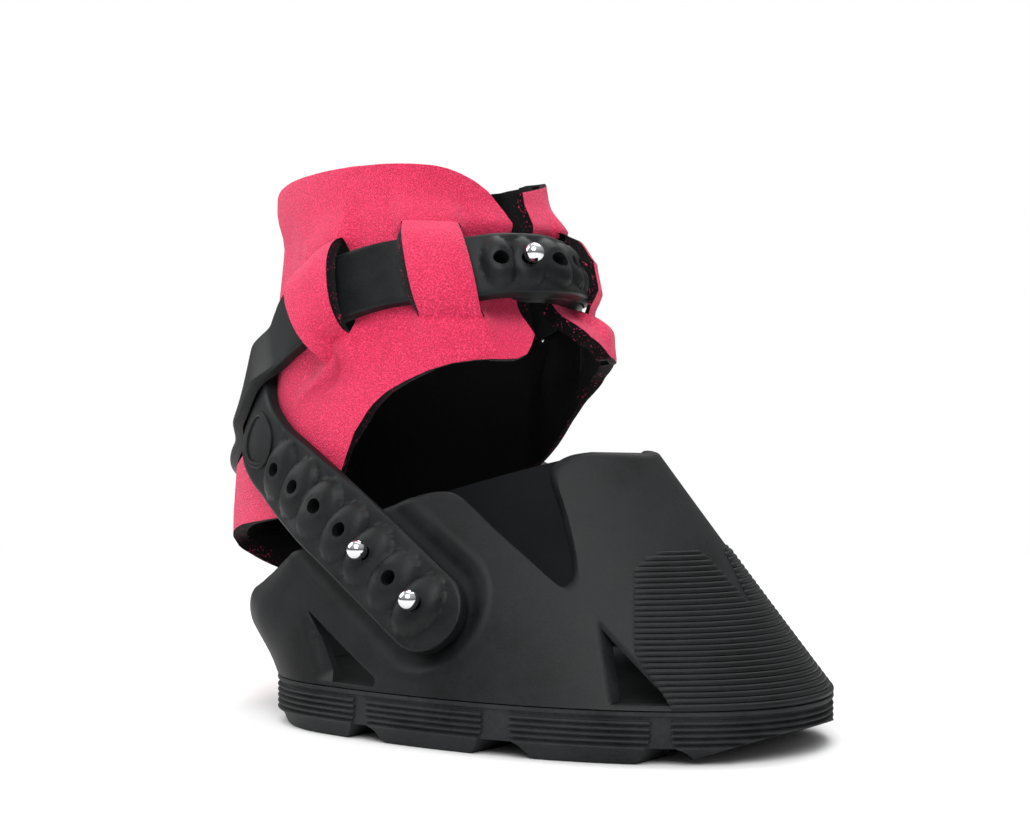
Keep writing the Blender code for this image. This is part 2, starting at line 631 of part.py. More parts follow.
class Route:
    """A strap's centre line on the leg, as points and outward normals, read by length."""

    def __init__(self, shares, side, lifts):
        points, normals, turns = [], [], []
        for kind, first, second in shares:
            if kind == "shell":
                x, height = side_place(first, second)
                point, normal = hoof_side(x, height, side), hoof_side_normal(x, height, side)
                lift, turn = GAP + LAYER_GAP, None
            else:
                height = second * CUFF_TOP
                point, normal = cuff_point(first, height), cuff_normal(first, height)
                lift, turn = LAYER_GAP, first
            points.append(point + normal * lift)
            normals.append(normal)
            turns.append(turn)
        self.turns = turns
        self.samples, raised = [], []
        for i in range(len(points) - 1):
            p0, p3 = points[max(i - 1, 0)], points[min(i + 2, len(points) - 1)]
            p1, p2 = points[i], points[i + 1]
            for step in range(ROUTE_STEPS):
                u = step / ROUTE_STEPS
                spot = 0.5 * ((2 * p1) + (p2 - p0) * u + (2 * p0 - 5 * p1 + 4 * p2 - p3) * u * u
                              + (3 * p1 - p0 - 3 * p2 + p3) * u * u * u)
                normal = normals[i].lerp(normals[i + 1], u).normalized()
                on_cuff = turns[i] is not None
                turn = mix(turns[i], turns[i + 1], u) if on_cuff else None
                self.samples.append((spot, normal))
                raised.append(self.lift_at(turn, lifts) if on_cuff else 0.0)
        self.samples.append((points[-1], normals[-1]))
        raised.append(self.lift_at(turns[-1], lifts))
        short = [self.shortfall(i) for i in range(len(self.samples))]
        wide = [max(short[max(i - ROUTE_STEPS, 0):i + ROUTE_STEPS]) for i in range(len(short))]
        even = [sum(wide[max(i - 6, 0):i + 7]) / len(wide[max(i - 6, 0):i + 7]) for i in range(len(wide))]
        self.samples = [(spot + normal * (lift + more), normal)
                        for (spot, normal), lift, more in zip(self.samples, raised, even)]
        self.lengths = [0.0]
        for (a, _), (b, _) in zip(self.samples, self.samples[1:]):
            self.lengths.append(self.lengths[-1] + (b - a).length)
        self.length = self.lengths[-1]

    def lift_at(self, turn, lifts):
        total = 0.0
        for (low, high), rise in lifts:
            total += rise * smooth(min(turn - low, high - turn) / RAMP_TURN + 1)
        return total

    def shortfall(self, index):
        """How much a straight band across the route lacks of its gap over the cuff."""
        spot, normal = self.samples[index]
        near = self.samples[min(index + 1, len(self.samples) - 1)][0]
        before = self.samples[max(index - 1, 0)][0]
        along = (near - before).normalized()
        wide = normal.cross(along)
        half = STRAP_WIDTH / 2
        clear = [cuff_clearance(spot + wide * half * share) for share in (-1.0, -0.5, 0.0, 0.5, 1.0)]
        return max(LAYER_GAP - min(clear), 0.0)

    def key_length(self, index):
        return self.lengths[index * ROUTE_STEPS]

    def turn_length(self, turn):
        """The length at which the strap passes a turn round the cuff."""
        for i in range(len(self.turns) - 1):
            a, b = self.turns[i], self.turns[i + 1]
            if a is not None and min(a, b) <= turn <= max(a, b):
                return mix(self.key_length(i), self.key_length(i + 1), (turn - a) / (b - a))
        return self.length

    def frame(self, length):
        length = min(max(length, 0.0), self.length)
        index = 0
        while index < len(self.lengths) - 2 and self.lengths[index + 1] < length:
            index += 1
        span = self.lengths[index + 1] - self.lengths[index]
        u = (length - self.lengths[index]) / span
        (a, na), (b, nb) = self.samples[index], self.samples[index + 1]
        along = (b - a).normalized()
        normal = na.lerp(nb, u)
        normal = (normal - along * normal.dot(along)).normalized()
        return a.lerp(b, u), along, normal.cross(along), normal


def strap_half_width(length, start, end, taper):
    low, high = taper
    half = mix(STRAP_WIDTH, STRAP_UPPER_WIDTH, smooth((length - low) / (high - low))) / 2
    for near, is_round in ((length - start[0], start[1]), (end[0] - length, end[1])):
        if is_round and near < half:
            half *= math.sqrt(max(1 - (1 - near / half) ** 2, 0.04))
    return half


def build_strap(name, route, start, end, taper, bumps, discs=()):
    """A strap between two lengths of its route: a flat band with a dome round each hole."""
    lengths = set()
    count = round((end[0] - start[0]) / (STRAP_WIDTH / 3))
    for i in range(count + 1):
        lengths.add(mix(start[0], end[0], i / count))
    for place, pitch in bumps:
        lengths = {value for value in lengths if abs(value - place) > pitch / 2}
        lengths |= {place + pitch * share for share in (-0.5, -0.28, 0.0, 0.28)}
        lengths.add(place + pitch * 0.5)
    if start[1]:
        lengths |= {start[0] + STRAP_WIDTH * share for share in (0.0, 0.03, 0.12, 0.28)}
    if end[1]:
        lengths |= {end[0] - STRAP_UPPER_WIDTH * share for share in (0.0, 0.03, 0.12, 0.28)}
    ordered = []
    for value in sorted(v for v in lengths if start[0] <= v <= end[0]):
        if not ordered or value - ordered[-1] > STRAP_THICKNESS / 6:
            ordered.append(value)
    across_shares = (-1.0, -0.86, -0.5, 0.0, 0.5, 0.86, 1.0)

    def top_height(length, across, half):
        rise = 0.0
        for place, pitch in bumps:
            reach = 1 - ((length - place) / (pitch * 0.66)) ** 2 - (across / (half * 0.84)) ** 2
            rise = max(rise, BUMP_HEIGHT * math.sqrt(max(reach, 0.0)))
        edge = STRAP_EDGE * smooth((abs(across) / half - 0.86) / 0.14)
        return STRAP_THICKNESS - edge + rise

    def build(bm):
        rings = []
        for length in ordered:
            spot, _, wide, normal = route.frame(length)
            half = strap_half_width(length, start, end, taper)
            ring = [spot + wide * half, spot - wide * half]
            for share in across_shares:
                ring.append(spot + wide * half * share + normal * top_height(length, half * share, half))
            rings.append(ring)
        loft(bm, rings)
    strap = add_object(name, mesh_from(name, build), RUBBER)
    for place in discs:
        spot, along, wide, normal = route.frame(place)
        disc = placed_cylinder("disc", DISC_RADIUS, STRAP_THICKNESS / 2, DISC_HEIGHT + STRAP_THICKNESS,
                               spot, along, wide, normal, TURN_STEPS * 2)
        boolean(strap, disc, "UNION")
    for place, _ in bumps:
        spot, along, wide, normal = route.frame(place)
        hole = placed_cylinder("strap_hole", HOLE_RADIUS, -STRAP_THICKNESS, STRAP_THICKNESS * 3,
                               spot, along, wide, normal, TURN_STEPS)
        boolean(strap, hole)
    return strap


def axes_matrix(spot, along, wide, normal):
    turned = Matrix((along, wide, normal)).transposed().to_4x4()
    return Matrix.Translation(spot) @ turned


def placed_cylinder(name, radius, low, high, spot, along, wide, normal, steps):
    def build(bm):
        bmesh.ops.create_cone(bm, cap_ends=True, segments=steps, radius1=radius, radius2=radius,
                              depth=high - low)
        bmesh.ops.translate(bm, vec=(0.0, 0.0, (low + high) / 2), verts=bm.verts)
        bmesh.ops.transform(bm, matrix=axes_matrix(spot, along, wide, normal), verts=bm.verts)
    return add_object(name, mesh_from(name, build), cutter=True)


# Studs

def turned(name, profile, place, material, hollow=False):
    """A solid turned about its own Z from a profile of radius and height, top to bottom."""
    mesh = bpy.data.meshes.new(name)
    bm = bmesh.new()
    verts = [bm.verts.new((radius, 0.0, height)) for radius, height in profile]
    for a, b in zip(verts, verts[1:] + verts[:1] if hollow else verts[1:]):
        bm.edges.new((a, b))
    bm.to_mesh(mesh)
    bm.free()
    item = add_object(name, mesh, material)
    screw = item.modifiers.new("turn", "SCREW")
    screw.steps = screw.render_steps = TURN_STEPS
    screw.use_merge_vertices = True
    screw.merge_threshold = SLIVER
    bake(item)
    item.matrix_world = axes_matrix(*place)
    return item


def build_stud(side_name, place, rest, depth):
    """A ball stud through the strap and what carries it, with its washer and screw behind."""
    top = rest + math.sqrt(BALL_RADIUS ** 2 - HOLE_RADIUS ** 2) + LAYER_GAP
    start = math.asin(NECK_RADIUS / BALL_RADIUS)
    ball = [(0.0, top + BALL_RADIUS)]
    for i in range(1, 6):
        angle = (math.pi - start) * i / 5
        ball.append((BALL_RADIUS * math.sin(angle), top + BALL_RADIUS * math.cos(angle)))
    bottom = -depth
    bore = SCREW_HEAD_HEIGHT * 2
    ball += [(NECK_RADIUS, bottom), (THREAD_RADIUS + GAP, bottom),
             (THREAD_RADIUS + GAP, bottom + bore), (0.0, bottom + bore)]
    turned(f"{side_name}_stud", ball, place, CHROME)
    washer_top = bottom - GAP
    inner = THREAD_RADIUS + GAP
    washer = [(inner, washer_top), (WASHER_RADIUS, washer_top),
              (WASHER_RADIUS, washer_top - WASHER_THICKNESS),
              (inner, washer_top - WASHER_THICKNESS)]
    turned(f"{side_name}_washer", washer, place, STEEL, hollow=True)
    head_top = washer_top - WASHER_THICKNESS - GAP
    screw = [(0.0, bottom + bore - GAP * 2), (THREAD_RADIUS, bottom + bore - GAP * 2),
             (THREAD_RADIUS, head_top), (SCREW_HEAD_RADIUS, head_top),
             (SCREW_HEAD_RADIUS * 0.85, head_top - SCREW_HEAD_HEIGHT * 0.7),
             (SCREW_HEAD_RADIUS * 0.5, head_top - SCREW_HEAD_HEIGHT), (0.0, head_top - SCREW_HEAD_HEIGHT)]
    turned(f"{side_name}_screw", screw, place, STEEL)


def centre_on_origin():
    """Moves every piece alike, so that the model's box is centred over the origin."""
    bpy.context.view_layer.update()
    corners = [item.matrix_world @ vertex.co for item in BOOT.objects for vertex in item.data.vertices]
    low_x, high_x = min(c.x for c in corners), max(c.x for c in corners)
    low_y, high_y = min(c.y for c in corners), max(c.y for c in corners)
    low_z = min(c.z for c in corners)
    shift = Vector((-(low_x + high_x) / 2, -(low_y + high_y) / 2, -low_z))
    for item in list(BOOT.objects) + list(CUTTERS.objects):
        item.matrix_world = Matrix.Translation(shift) @ item.matrix_world
    return shift


clear_scene()
BOOT = make_collection("hoof_boot")
CUTTERS = make_collection("cutters")
RUBBER = make_material("charcoal_rubber", (0.035, 0.038, 0.038), 0.55)
SOLE = make_material("outsole_rubber", (0.030, 0.032, 0.032), 0.60)
WEB = make_material("gusset_rubber", (0.012, 0.014, 0.020), 0.35)
NEOPRENE_CLOTH = make_material("pink_neoprene", (0.80, 0.045, 0.14), 0.85)
CHROME = make_material("chrome", (0.80, 0.80, 0.82), 0.08, 1.0)
STEEL = make_material("steel", (0.55, 0.55, 0.56), 0.30, 1.0)

shell = build_shell()
build_outsole()
build_web(-1)
build_web(1)
build_cuff()

one_strap = STRAP_THICKNESS + LAYER_GAP
screw_room = WASHER_THICKNESS + SCREW_HEAD_HEIGHT + LAYER_GAP * 2 + GAP
tongue_turns = [turn + 360 + RAMP_TURN / 3 for turn in SCREW_TURNS]
under = Route(UNDER_ROUTE_SHARES, -1, ((tongue_turns, screw_room), (HOLLOW_TURNS, HOLLOW_BOW)))
over = Route(OVER_ROUTE_SHARES, 1, ((CROSSING_TURNS, one_strap + CROSSING_BOW), (CLOSURE_TURNS, one_strap),
                                    (SCREW_TURNS, screw_room), (HOLLOW_TURNS, HOLLOW_BOW)))
TAPER = (BUMP_PITCH * 8, BUMP_PITCH * 14)


def lower_bumps(route):
    first = route.key_length(1)
    return [(first + BUMP_PITCH * k, BUMP_PITCH) for k in range(7)]


closure_place = over.turn_length(CLOSURE_STUD_TURN)
closure_bumps = [(closure_place + BUMP_UPPER_PITCH * k, BUMP_UPPER_PITCH) for k in range(-1, 4)]
split = over.turn_length(SPLIT_TURN)
tongue_stud = under.turn_length(360 + CLOSURE_STUD_TURN)
under_first, over_first = under.key_length(1), over.key_length(1)
strap_end_reach = STRAP_WIDTH * 0.58
closure_end = closure_bumps[-1][0] + STRAP_UPPER_WIDTH
tongue_end = tongue_stud + STRAP_UPPER_WIDTH * 0.42

build_strap("strap_right", under, (under_first - strap_end_reach, True), (tongue_end, True), TAPER,
            lower_bumps(under), [under_first + BUMP_PITCH * 7.35])
build_strap("strap_left", over, (over_first - strap_end_reach, True), (split, False), TAPER,
            lower_bumps(over), [over_first + BUMP_PITCH * 7.35])
build_strap("closure_strap_end", over, (split + LAYER_GAP, False), (closure_end, True), TAPER,
            closure_bumps)
tongue = bpy.data.objects["strap_right"]
boolean(tongue, placed_cylinder("tongue_hole", HOLE_RADIUS, -STRAP_THICKNESS, STRAP_THICKNESS * 2,
                                *under.frame(tongue_stud), TURN_STEPS))

lower_rest = STRAP_THICKNESS + BUMP_HEIGHT * 0.95
for label, route in (("right", under), ("left", over)):
    for spot_name, step in (("front", 0), ("rear", 2)):
        place = route.frame(route.key_length(1) + BUMP_PITCH * step)
        hole = placed_cylinder(f"{label}_{spot_name}_wall_hole", NECK_RADIUS + GAP, -WALL * 3, WALL,
                               *place, TURN_STEPS)
        boolean(shell, hole)
        build_stud(f"{label}_{spot_name}", place, lower_rest, WALL + GAP + LAYER_GAP)
closure_frame = list(over.frame(closure_place))
build_stud("closure", closure_frame, lower_rest, STRAP_THICKNESS + LAYER_GAP)

for piece in BOOT.objects:
    piece.data.shade_smooth()
    piece.data.set_sharp_from_angle(angle=math.radians(38))
shift = centre_on_origin()
print("shift", [round(value, 6) for value in shift])
for piece in BOOT.objects:
    triangles = sum(len(polygon.vertices) - 2 for polygon in piece.data.polygons)
    print(piece.name, triangles)
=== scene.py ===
"""Horse hoof boot: moulded rubber shell and outsole, neoprene cuff, two crossing straps on ball studs.

Lengths here are millimetres about the sole, +X to the toe, -Y to the boot's right, ground at Z = 0.
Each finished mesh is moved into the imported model's frame and turned to metres.
"""
import math

import bmesh
import bpy
from mathutils import Matrix, Vector, kdtree


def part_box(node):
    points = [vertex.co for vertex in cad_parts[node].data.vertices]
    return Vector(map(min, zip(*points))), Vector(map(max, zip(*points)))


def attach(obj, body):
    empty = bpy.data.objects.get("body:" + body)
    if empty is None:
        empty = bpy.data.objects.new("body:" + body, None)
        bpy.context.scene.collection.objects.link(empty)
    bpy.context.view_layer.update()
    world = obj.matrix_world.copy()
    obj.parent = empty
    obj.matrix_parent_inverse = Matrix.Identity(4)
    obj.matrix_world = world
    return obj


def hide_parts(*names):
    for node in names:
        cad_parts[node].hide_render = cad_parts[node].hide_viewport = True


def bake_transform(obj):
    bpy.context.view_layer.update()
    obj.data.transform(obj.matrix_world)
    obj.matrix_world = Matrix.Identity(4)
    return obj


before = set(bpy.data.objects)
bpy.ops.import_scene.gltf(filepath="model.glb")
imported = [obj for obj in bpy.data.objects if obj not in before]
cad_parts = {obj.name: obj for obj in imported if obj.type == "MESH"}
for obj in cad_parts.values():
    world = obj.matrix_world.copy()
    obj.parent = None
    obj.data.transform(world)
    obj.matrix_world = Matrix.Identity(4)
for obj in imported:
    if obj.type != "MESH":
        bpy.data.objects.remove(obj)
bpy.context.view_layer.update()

MM = 0.001
TOE_X = 80.0
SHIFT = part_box("outsole")[1][0] / MM - TOE_X
SOLE_TOP = 14.8
WALL = 4.0
NEOPRENE = 4.5
LAYER_GAP = 0.4
STRAP_THICKNESS = 3.6
LOWER_WIDTH, UPPER_WIDTH = 24.0, 20.0
LOWER_PITCH, UPPER_PITCH = 12.1, 7.9
HOLE_RADIUS = 2.0
BUMP_HEIGHT = 3.0


def mix(low, high, share):
    return low + (high - low) * share


def smooth(share):
    share = min(max(share, 0.0), 1.0)
    return share * share * (3 - 2 * share)


def power_of(value, power):
    return math.copysign(abs(value) ** power, value)


def table_at(rows, key):
    """Reads a table whose rows start with a rising key, in straight lines between rows."""
    key = min(max(key, rows[0][0]), rows[-1][0])
    for low, high in zip(rows, rows[1:]):
        if key <= high[0]:
            share = (key - low[0]) / (high[0] - low[0])
            return [mix(a, b, share) for a, b in zip(low[1:], high[1:])]
    return list(rows[-1][1:])


def curve_through(points, spacing):
    """Points evenly along a smooth curve through the given ones."""
    points = [Vector(point) for point in points]
    dense = []
    for i in range(len(points) - 1):
        p0, p3 = points[max(i - 1, 0)], points[min(i + 2, len(points) - 1)]
        p1, p2 = points[i], points[i + 1]
        for step in range(16):
            u = step / 16
            dense.append(0.5 * (2 * p1 + (p2 - p0) * u + (2 * p0 - 5 * p1 + 4 * p2 - p3) * u * u
                                + (3 * p1 - p0 - 3 * p2 + p3) * u ** 3))
    dense.append(points[-1])
    lengths = [0.0]
    for a, b in zip(dense, dense[1:]):
        lengths.append(lengths[-1] + (b - a).length)
    count = round(lengths[-1] / spacing)
    result, index = [], 0
    for k in range(count + 1):
        wanted = lengths[-1] * k / count
        while index < len(dense) - 2 and lengths[index + 1] < wanted:
            index += 1
        share = (wanted - lengths[index]) / max(lengths[index + 1] - lengths[index], 1e-9)
        result.append(dense[index].lerp(dense[index + 1], min(share, 1.0)))
    return result


# Node materials

def linear(colour):
    """Turns an sRGB hex value into linear red, green, blue and alpha."""
    parts = [int(colour[i:i + 2], 16) / 255 for i in (1, 3, 5)]
    return [p / 12.92 if p <= 0.04045 else ((p + 0.055) / 1.055) ** 2.4 for p in parts] + [1.0]


def node(tree, kind, settings=None, **inputs):
    """Adds a node; an input given another node's socket is linked, any other value is set."""
    made = tree.nodes.new(kind)
    for key, value in (settings or {}).items():
        setattr(made, key, value)
    for key, value in inputs.items():
        name = key.replace("_", " ")
        slot = made.inputs[int(key[1:])] if key[0] == "i" and key[1:].isdigit() else made.inputs[name]
        if isinstance(value, bpy.types.NodeSocket):
            tree.links.new(value, slot)
        else:
            slot.default_value = value
    return made


def new_material(name, **shader):
    material = bpy.data.materials.new(name)
    material.use_nodes = True
    tree = material.node_tree
    principled = tree.nodes["Principled BSDF"]
    for key, value in shader.items():
        principled.inputs[key.replace("_", " ")].default_value = value
    return material, tree, principled


def ramp(tree, factor, stops):
    """A colour ramp of (position, hex colour) stops."""
    made = node(tree, "ShaderNodeValToRGB", Fac=factor)
    elements = made.color_ramp.elements
    while len(elements) < len(stops):
        elements.new(0.5)
    for element, (position, colour) in zip(elements, stops):
        element.position = position
        element.color = linear(colour)
    return made.outputs["Color"]


def moulded_rubber(name, dark, pale, roughness, grain_mm, grain_depth, gloss=0.17):
    """Moulded thermoplastic rubber: matte, with fine spark-eroded grain and a faint bloom of dust."""
    material, tree, shader = new_material(name, Roughness=roughness, IOR=1.5, Specular_IOR_Level=gloss)
    place = node(tree, "ShaderNodeTexCoord").outputs["Object"]
    bloom = node(tree, "ShaderNodeTexNoise", Vector=place, Scale=1 / (18 * MM), Detail=5.0, Roughness=0.62)
    speck = node(tree, "ShaderNodeTexNoise", Vector=place, Scale=1 / (1.1 * MM), Detail=3.0)
    blend = node(tree, "ShaderNodeMath", {"operation": "MULTIPLY_ADD"}, i0=speck.outputs["Fac"], i1=0.35,
                 i2=bloom.outputs["Fac"])
    tree.links.new(ramp(tree, blend.outputs[0], ((0.48, dark), (0.86, pale))), shader.inputs["Base Color"])
    rough = node(tree, "ShaderNodeMapRange", Value=bloom.outputs["Fac"], i1=0.3, i2=0.7,
                 i3=roughness - 0.07, i4=roughness + 0.08)
    tree.links.new(rough.outputs[0], shader.inputs["Roughness"])
    grain = node(tree, "ShaderNodeTexVoronoi", {"feature": "SMOOTH_F1"}, Vector=place,
                 Scale=1 / (grain_mm * MM), Smoothness=0.6)
    bump = node(tree, "ShaderNodeBump", Strength=0.5, Distance=grain_depth * MM,
                Height=grain.outputs["Distance"])
    tree.links.new(bump.outputs[0], shader.inputs["Normal"])
    return material


def knit_neoprene():
    """Nylon jersey laminated on neoprene: fine ribs of loops that scatter light to a pale pink sheen."""
    material, tree, shader = new_material("pink_jersey", Roughness=0.72, Sheen_Weight=0.28,
                                          Sheen_Roughness=0.45, Sheen_Tint=linear("#ff9fbe"))
    flat = node(tree, "ShaderNodeUVMap", {"uv_map": "cloth"}).outputs["UV"]
    # Loops about 0.45 mm wide are drawn a little wider, so that they show
    wales = node(tree, "ShaderNodeTexWave", {"bands_direction": "DIAGONAL"}, Vector=flat, Scale=1 / (0.45 * 3.2),
                 Distortion=3.0, Detail=2.0, Detail_Scale=3.0)
    loops = node(tree, "ShaderNodeTexVoronoi", Vector=flat, Scale=1 / 0.38, Randomness=1.0)
    soft = node(tree, "ShaderNodeTexNoise", Vector=flat, Scale=1 / 22, Detail=3.0, Roughness=0.5)
    fluff = node(tree, "ShaderNodeTexNoise", Vector=flat, Scale=1 / 0.4, Detail=2.0, Roughness=0.8)
    knit = node(tree, "ShaderNodeMath", {"operation": "MULTIPLY_ADD"}, i0=wales.outputs["Fac"], i1=0.12,
                i2=loops.outputs["Distance"])
    tone = node(tree, "ShaderNodeMath", {"operation": "MULTIPLY_ADD"}, i0=knit.outputs[0], i1=0.42,
                i2=fluff.outputs["Fac"])
    tone = node(tree, "ShaderNodeMath", {"operation": "MULTIPLY_ADD"}, i0=soft.outputs["Fac"], i1=0.15,
                i2=tone.outputs[0])
    colour = ramp(tree, tone.outputs[0], ((0.56, "#a4062f"), (0.80, "#cb0f45"), (1.0, "#ec386a")))
    tree.links.new(colour, shader.inputs["Base Color"])
    bump = node(tree, "ShaderNodeBump", Strength=0.9, Distance=0.3 * MM, Height=knit.outputs[0])
    tree.links.new(bump.outputs[0], shader.inputs["Normal"])
    return material


def foam(name, specks):
    """Closed-cell neoprene foam, black and darkened further as painted shade for the lining inside the cuff: its
    cut edge shows tiny cells and ends of pink yarn.
    """
    material, tree, shader = new_material(name, Roughness=0.95, Specular_IOR_Level=0.1, Sheen_Weight=0.04)
    place = node(tree, "ShaderNodeTexCoord").outputs["Object"]
    cells = node(tree, "ShaderNodeTexVoronoi", Vector=place, Scale=1 / (0.6 * MM))
    yarn = node(tree, "ShaderNodeTexNoise", Vector=place, Scale=1 / (0.9 * MM), Detail=3.0, Roughness=0.7)
    # This black base is partly the foam's own black and partly painted shade for the lining's place inside the
    # cuff. The cut edges share it.
    black_and_painted_shade = ramp(tree, cells.outputs["Distance"], ((0.1, "#030304"), (0.8, "#0a090b")))
    pink = ramp(tree, yarn.outputs["Fac"], ((1 - specks, "#000000"), (1 - specks + 0.05, "#ffffff")))
    colour = node(tree, "ShaderNodeMix", {"data_type": "RGBA"}, Factor=pink, A=black_and_painted_shade,
                  B=linear("#b9305a"))
    tree.links.new(colour.outputs["Result"], shader.inputs["Base Color"])
    bump = node(tree, "ShaderNodeBump", Strength=0.6, Distance=0.2 * MM, Height=cells.outputs["Distance"])
    tree.links.new(bump.outputs[0], shader.inputs["Normal"])
    return material


def plated(name, colour, roughness, brushed_mm):
    """Turned metal: clean plating with the lathe's finest lines left in it."""
    material, tree, shader = new_material(name, Metallic=1.0, Roughness=roughness, Base_Color=linear(colour))
    place = node(tree, "ShaderNodeTexCoord").outputs["Object"]
    lines = node(tree, "ShaderNodeTexNoise", Vector=place, Scale=1 / (brushed_mm * MM), Detail=4.0)
    rough = node(tree, "ShaderNodeMapRange", Value=lines.outputs["Fac"], i3=roughness * 0.6,
                 i4=roughness * 1.5)
    tree.links.new(rough.outputs[0], shader.inputs["Roughness"])
    return material


SHELL_RUBBER = moulded_rubber("moulded_tpu_charcoal", "#0d0e0f", "#1a1c1d", 0.50, 0.55, 0.05)
# The tread's tones are paler than the shell's, partly for dust and partly as painted light: the sole's ribs are
# drawn as if they catch more light than the shell.
TREAD_RUBBER = moulded_rubber("tread_rubber_charcoal", "#171819", "#2a2c2d", 0.58, 0.7, 0.06)
STRAP_RUBBER = moulded_rubber("strap_tpu_charcoal", "#0d0e0f", "#1b1d1e", 0.46, 0.5, 0.04)
WEB_RUBBER = moulded_rubber("soft_gusset_rubber", "#040508", "#090a0e", 0.5, 0.8, 0.03, 0.05)
JERSEY = knit_neoprene()
# The lining's foam base is darkened as painted shade for its place inside the cuff.
LINING = foam("neoprene_lining", 0.05)
CUT_EDGE = foam("neoprene_cut_edge", 0.38)
STUD_CHROME = plated("stud_chrome", "#d9dadd", 0.10, 0.3)
ZINC_STEEL = plated("zinc_plated_steel", "#a9abad", 0.32, 0.5)


# Making pieces

def piece_from(bm, name, material, body=None, node_name=None, sharp=38.0):
    """Turns a finished bmesh in millimetres into an object in the model's frame."""
    for vert in bm.verts:
        vert.co = (vert.co + Vector((SHIFT, 0.0, 0.0))) * MM
    mesh = bpy.data.meshes.new(name)
    bm.to_mesh(mesh)
    bm.free()
    made = bpy.data.objects.new(name, mesh)
    bpy.context.scene.collection.objects.link(made)
    for entry in material if isinstance(material, list) else [material]:
        mesh.materials.append(entry)
    mesh.shade_smooth()
    mesh.set_sharp_from_angle(angle=math.radians(sharp))
    if node_name:
        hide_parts(*(node_name if isinstance(node_name, tuple) else (node_name,)))
    if body:
        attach(made, body)
    return made


def skin(bm, columns, rows, place):
    """Adds a grid whose points are put in place by their two shares."""
    made = bmesh.ops.create_grid(bm, x_segments=columns, y_segments=rows, size=0.5)["verts"]
    for vert in made:
        vert.co = place(vert.co.x + 0.5, vert.co.y + 0.5)
    return made


def close_up(bm, gap=0.002):
    bmesh.ops.remove_doubles(bm, verts=bm.verts, dist=gap)
    bmesh.ops.dissolve_degenerate(bm, dist=gap, edges=bm.edges)
    bmesh.ops.recalc_face_normals(bm, faces=bm.faces)


def cut(bm, tools, operation="DIFFERENCE"):
    """Cuts or joins a bmesh with others, and gives back the result as a bmesh."""
    holders = []
    for source in [bm] + tools:
        mesh = bpy.data.meshes.new("work")
        source.to_mesh(mesh)
        source.free()
        holder = bpy.data.objects.new("work", mesh)
        bpy.context.scene.collection.objects.link(holder)
        holders.append(holder)
    for tool in holders[1:]:
        modifier = holders[0].modifiers.new("cut", "BOOLEAN")
        modifier.object = tool
        modifier.operation = operation
        modifier.solver = "EXACT"
    bpy.context.view_layer.update()
    graph = bpy.context.evaluated_depsgraph_get()
    result = bmesh.new()
    result.from_mesh(holders[0].evaluated_get(graph).to_mesh())
    for holder in holders:
        bpy.data.objects.remove(holder, do_unlink=True)
    bmesh.ops.remove_doubles(result, verts=result.verts, dist=0.004)
    return result


def prism(outline, low_y, high_y):
    """A cutter from an outline in the side view, carried across the boot."""
    bm = bmesh.new()
    face = bm.faces.new([bm.verts.new((x, low_y, z)) for x, z in outline])
    moved = bmesh.ops.extrude_face_region(bm, geom=[face], use_keep_orig=True)["geom"]
    bmesh.ops.translate(bm, vec=(0.0, high_y - low_y, 0.0),
                        verts=[v for v in moved if isinstance(v, bmesh.types.BMVert)])
    bmesh.ops.recalc_face_normals(bm, faces=bm.faces)
    return bm


# The hoof shape

def hoof_section(z):
    up = max(z - SOLE_TOP, 0.0)
    front = 125.0 - 0.25 * up
    return TOE_X - 0.808 * up - front, front, 43.4 + 0.41 * up, 64.0 - 0.224 * up, 2.115 - 0.00634 * up


def wall_point(angle, z, inset=0.0):
    """A point of the wall; the angle runs from the toe by the right side to the heel."""
    centre, front, rear, half, power = hoof_section(z)
    along = math.cos(angle)
    length, power = (front, power) if along > 0 else (rear, 2.5)
    return Vector((centre + (length - inset * 1.2) * power_of(along, 2 / power),
                   -(half - inset) * power_of(math.sin(angle), 2 / power), z))


def wall_normal(angle, z):
    step = 0.004
    angle = min(max(angle, step), math.pi - step)
    round_way = wall_point(angle + step, z) - wall_point(angle - step, z)
    up = wall_point(angle, z + 0.4) - wall_point(angle, z - 0.4)
    return up.cross(round_way).normalized()


def wall_angle(x, z):
    """The angle at which the right wall has this place in the side view."""
    centre, front, rear, half, power = hoof_section(z)
    length, power = (front, power) if x > centre else (rear, 2.5)
    share = min(abs(x - centre) / length, 1.0) ** (power / 2)
    return math.acos(share) if x > centre else math.pi - math.acos(share)


def right_wall(x, z, out=0.0):
    """The right wall at a place in the side view, moved outwards along its normal."""
    angle = wall_angle(x, z)
    return wall_point(angle, z) + wall_normal(angle, z) * out


# Shell

RIM = ((-128, 28.8), (-115, 31.0), (-100, 34.6), (-84, 40.3), (-77, 44.0), (-66, 50.4), (-60, 52.6), (-48, 58.2),
       (-36.5, 63.7), (-28.5, 66.7), (-21.5, 68.9), (-16.0, 69.4), (-12.0, 68.4), (-7.6, 65.8), (2, 59),
       (12.5, 52), (21.0, 46.2), (24.6, 44.3), (26.0, 44.9), (26.6, 46.8), (24.6, 52.0), (18.8, 62.5),
       (13.7, 70.5), (11.7, 74.0), (11.0, 76.8), (12.2, 78.7), (14.6, 80.2), (18, 80.9))
FRONT_STUD, REAR_STUD = Vector((-12.8, 37.9)), Vector((-32.2, 50.3))
STRAP_WAY = (FRONT_STUD - REAR_STUD).normalized()
FRONT_WINDOW = ((35.9, 34.7), (45.1, 16.0), (58.6, 16.0))
HEEL_WINDOW = ((-54.6, 35.2), (-40.2, 16.0), (-24.6, 16.0), (-24.9, 18.2))
FRONT_SCOOP = ((32.6, 39.6), (44.3, 15.4), (62.6, 15.4))
HEEL_SCOOP = ((-60.5, 37.6), (-46.0, 15.4), (-23.6, 15.4), (-24.0, 19.5))


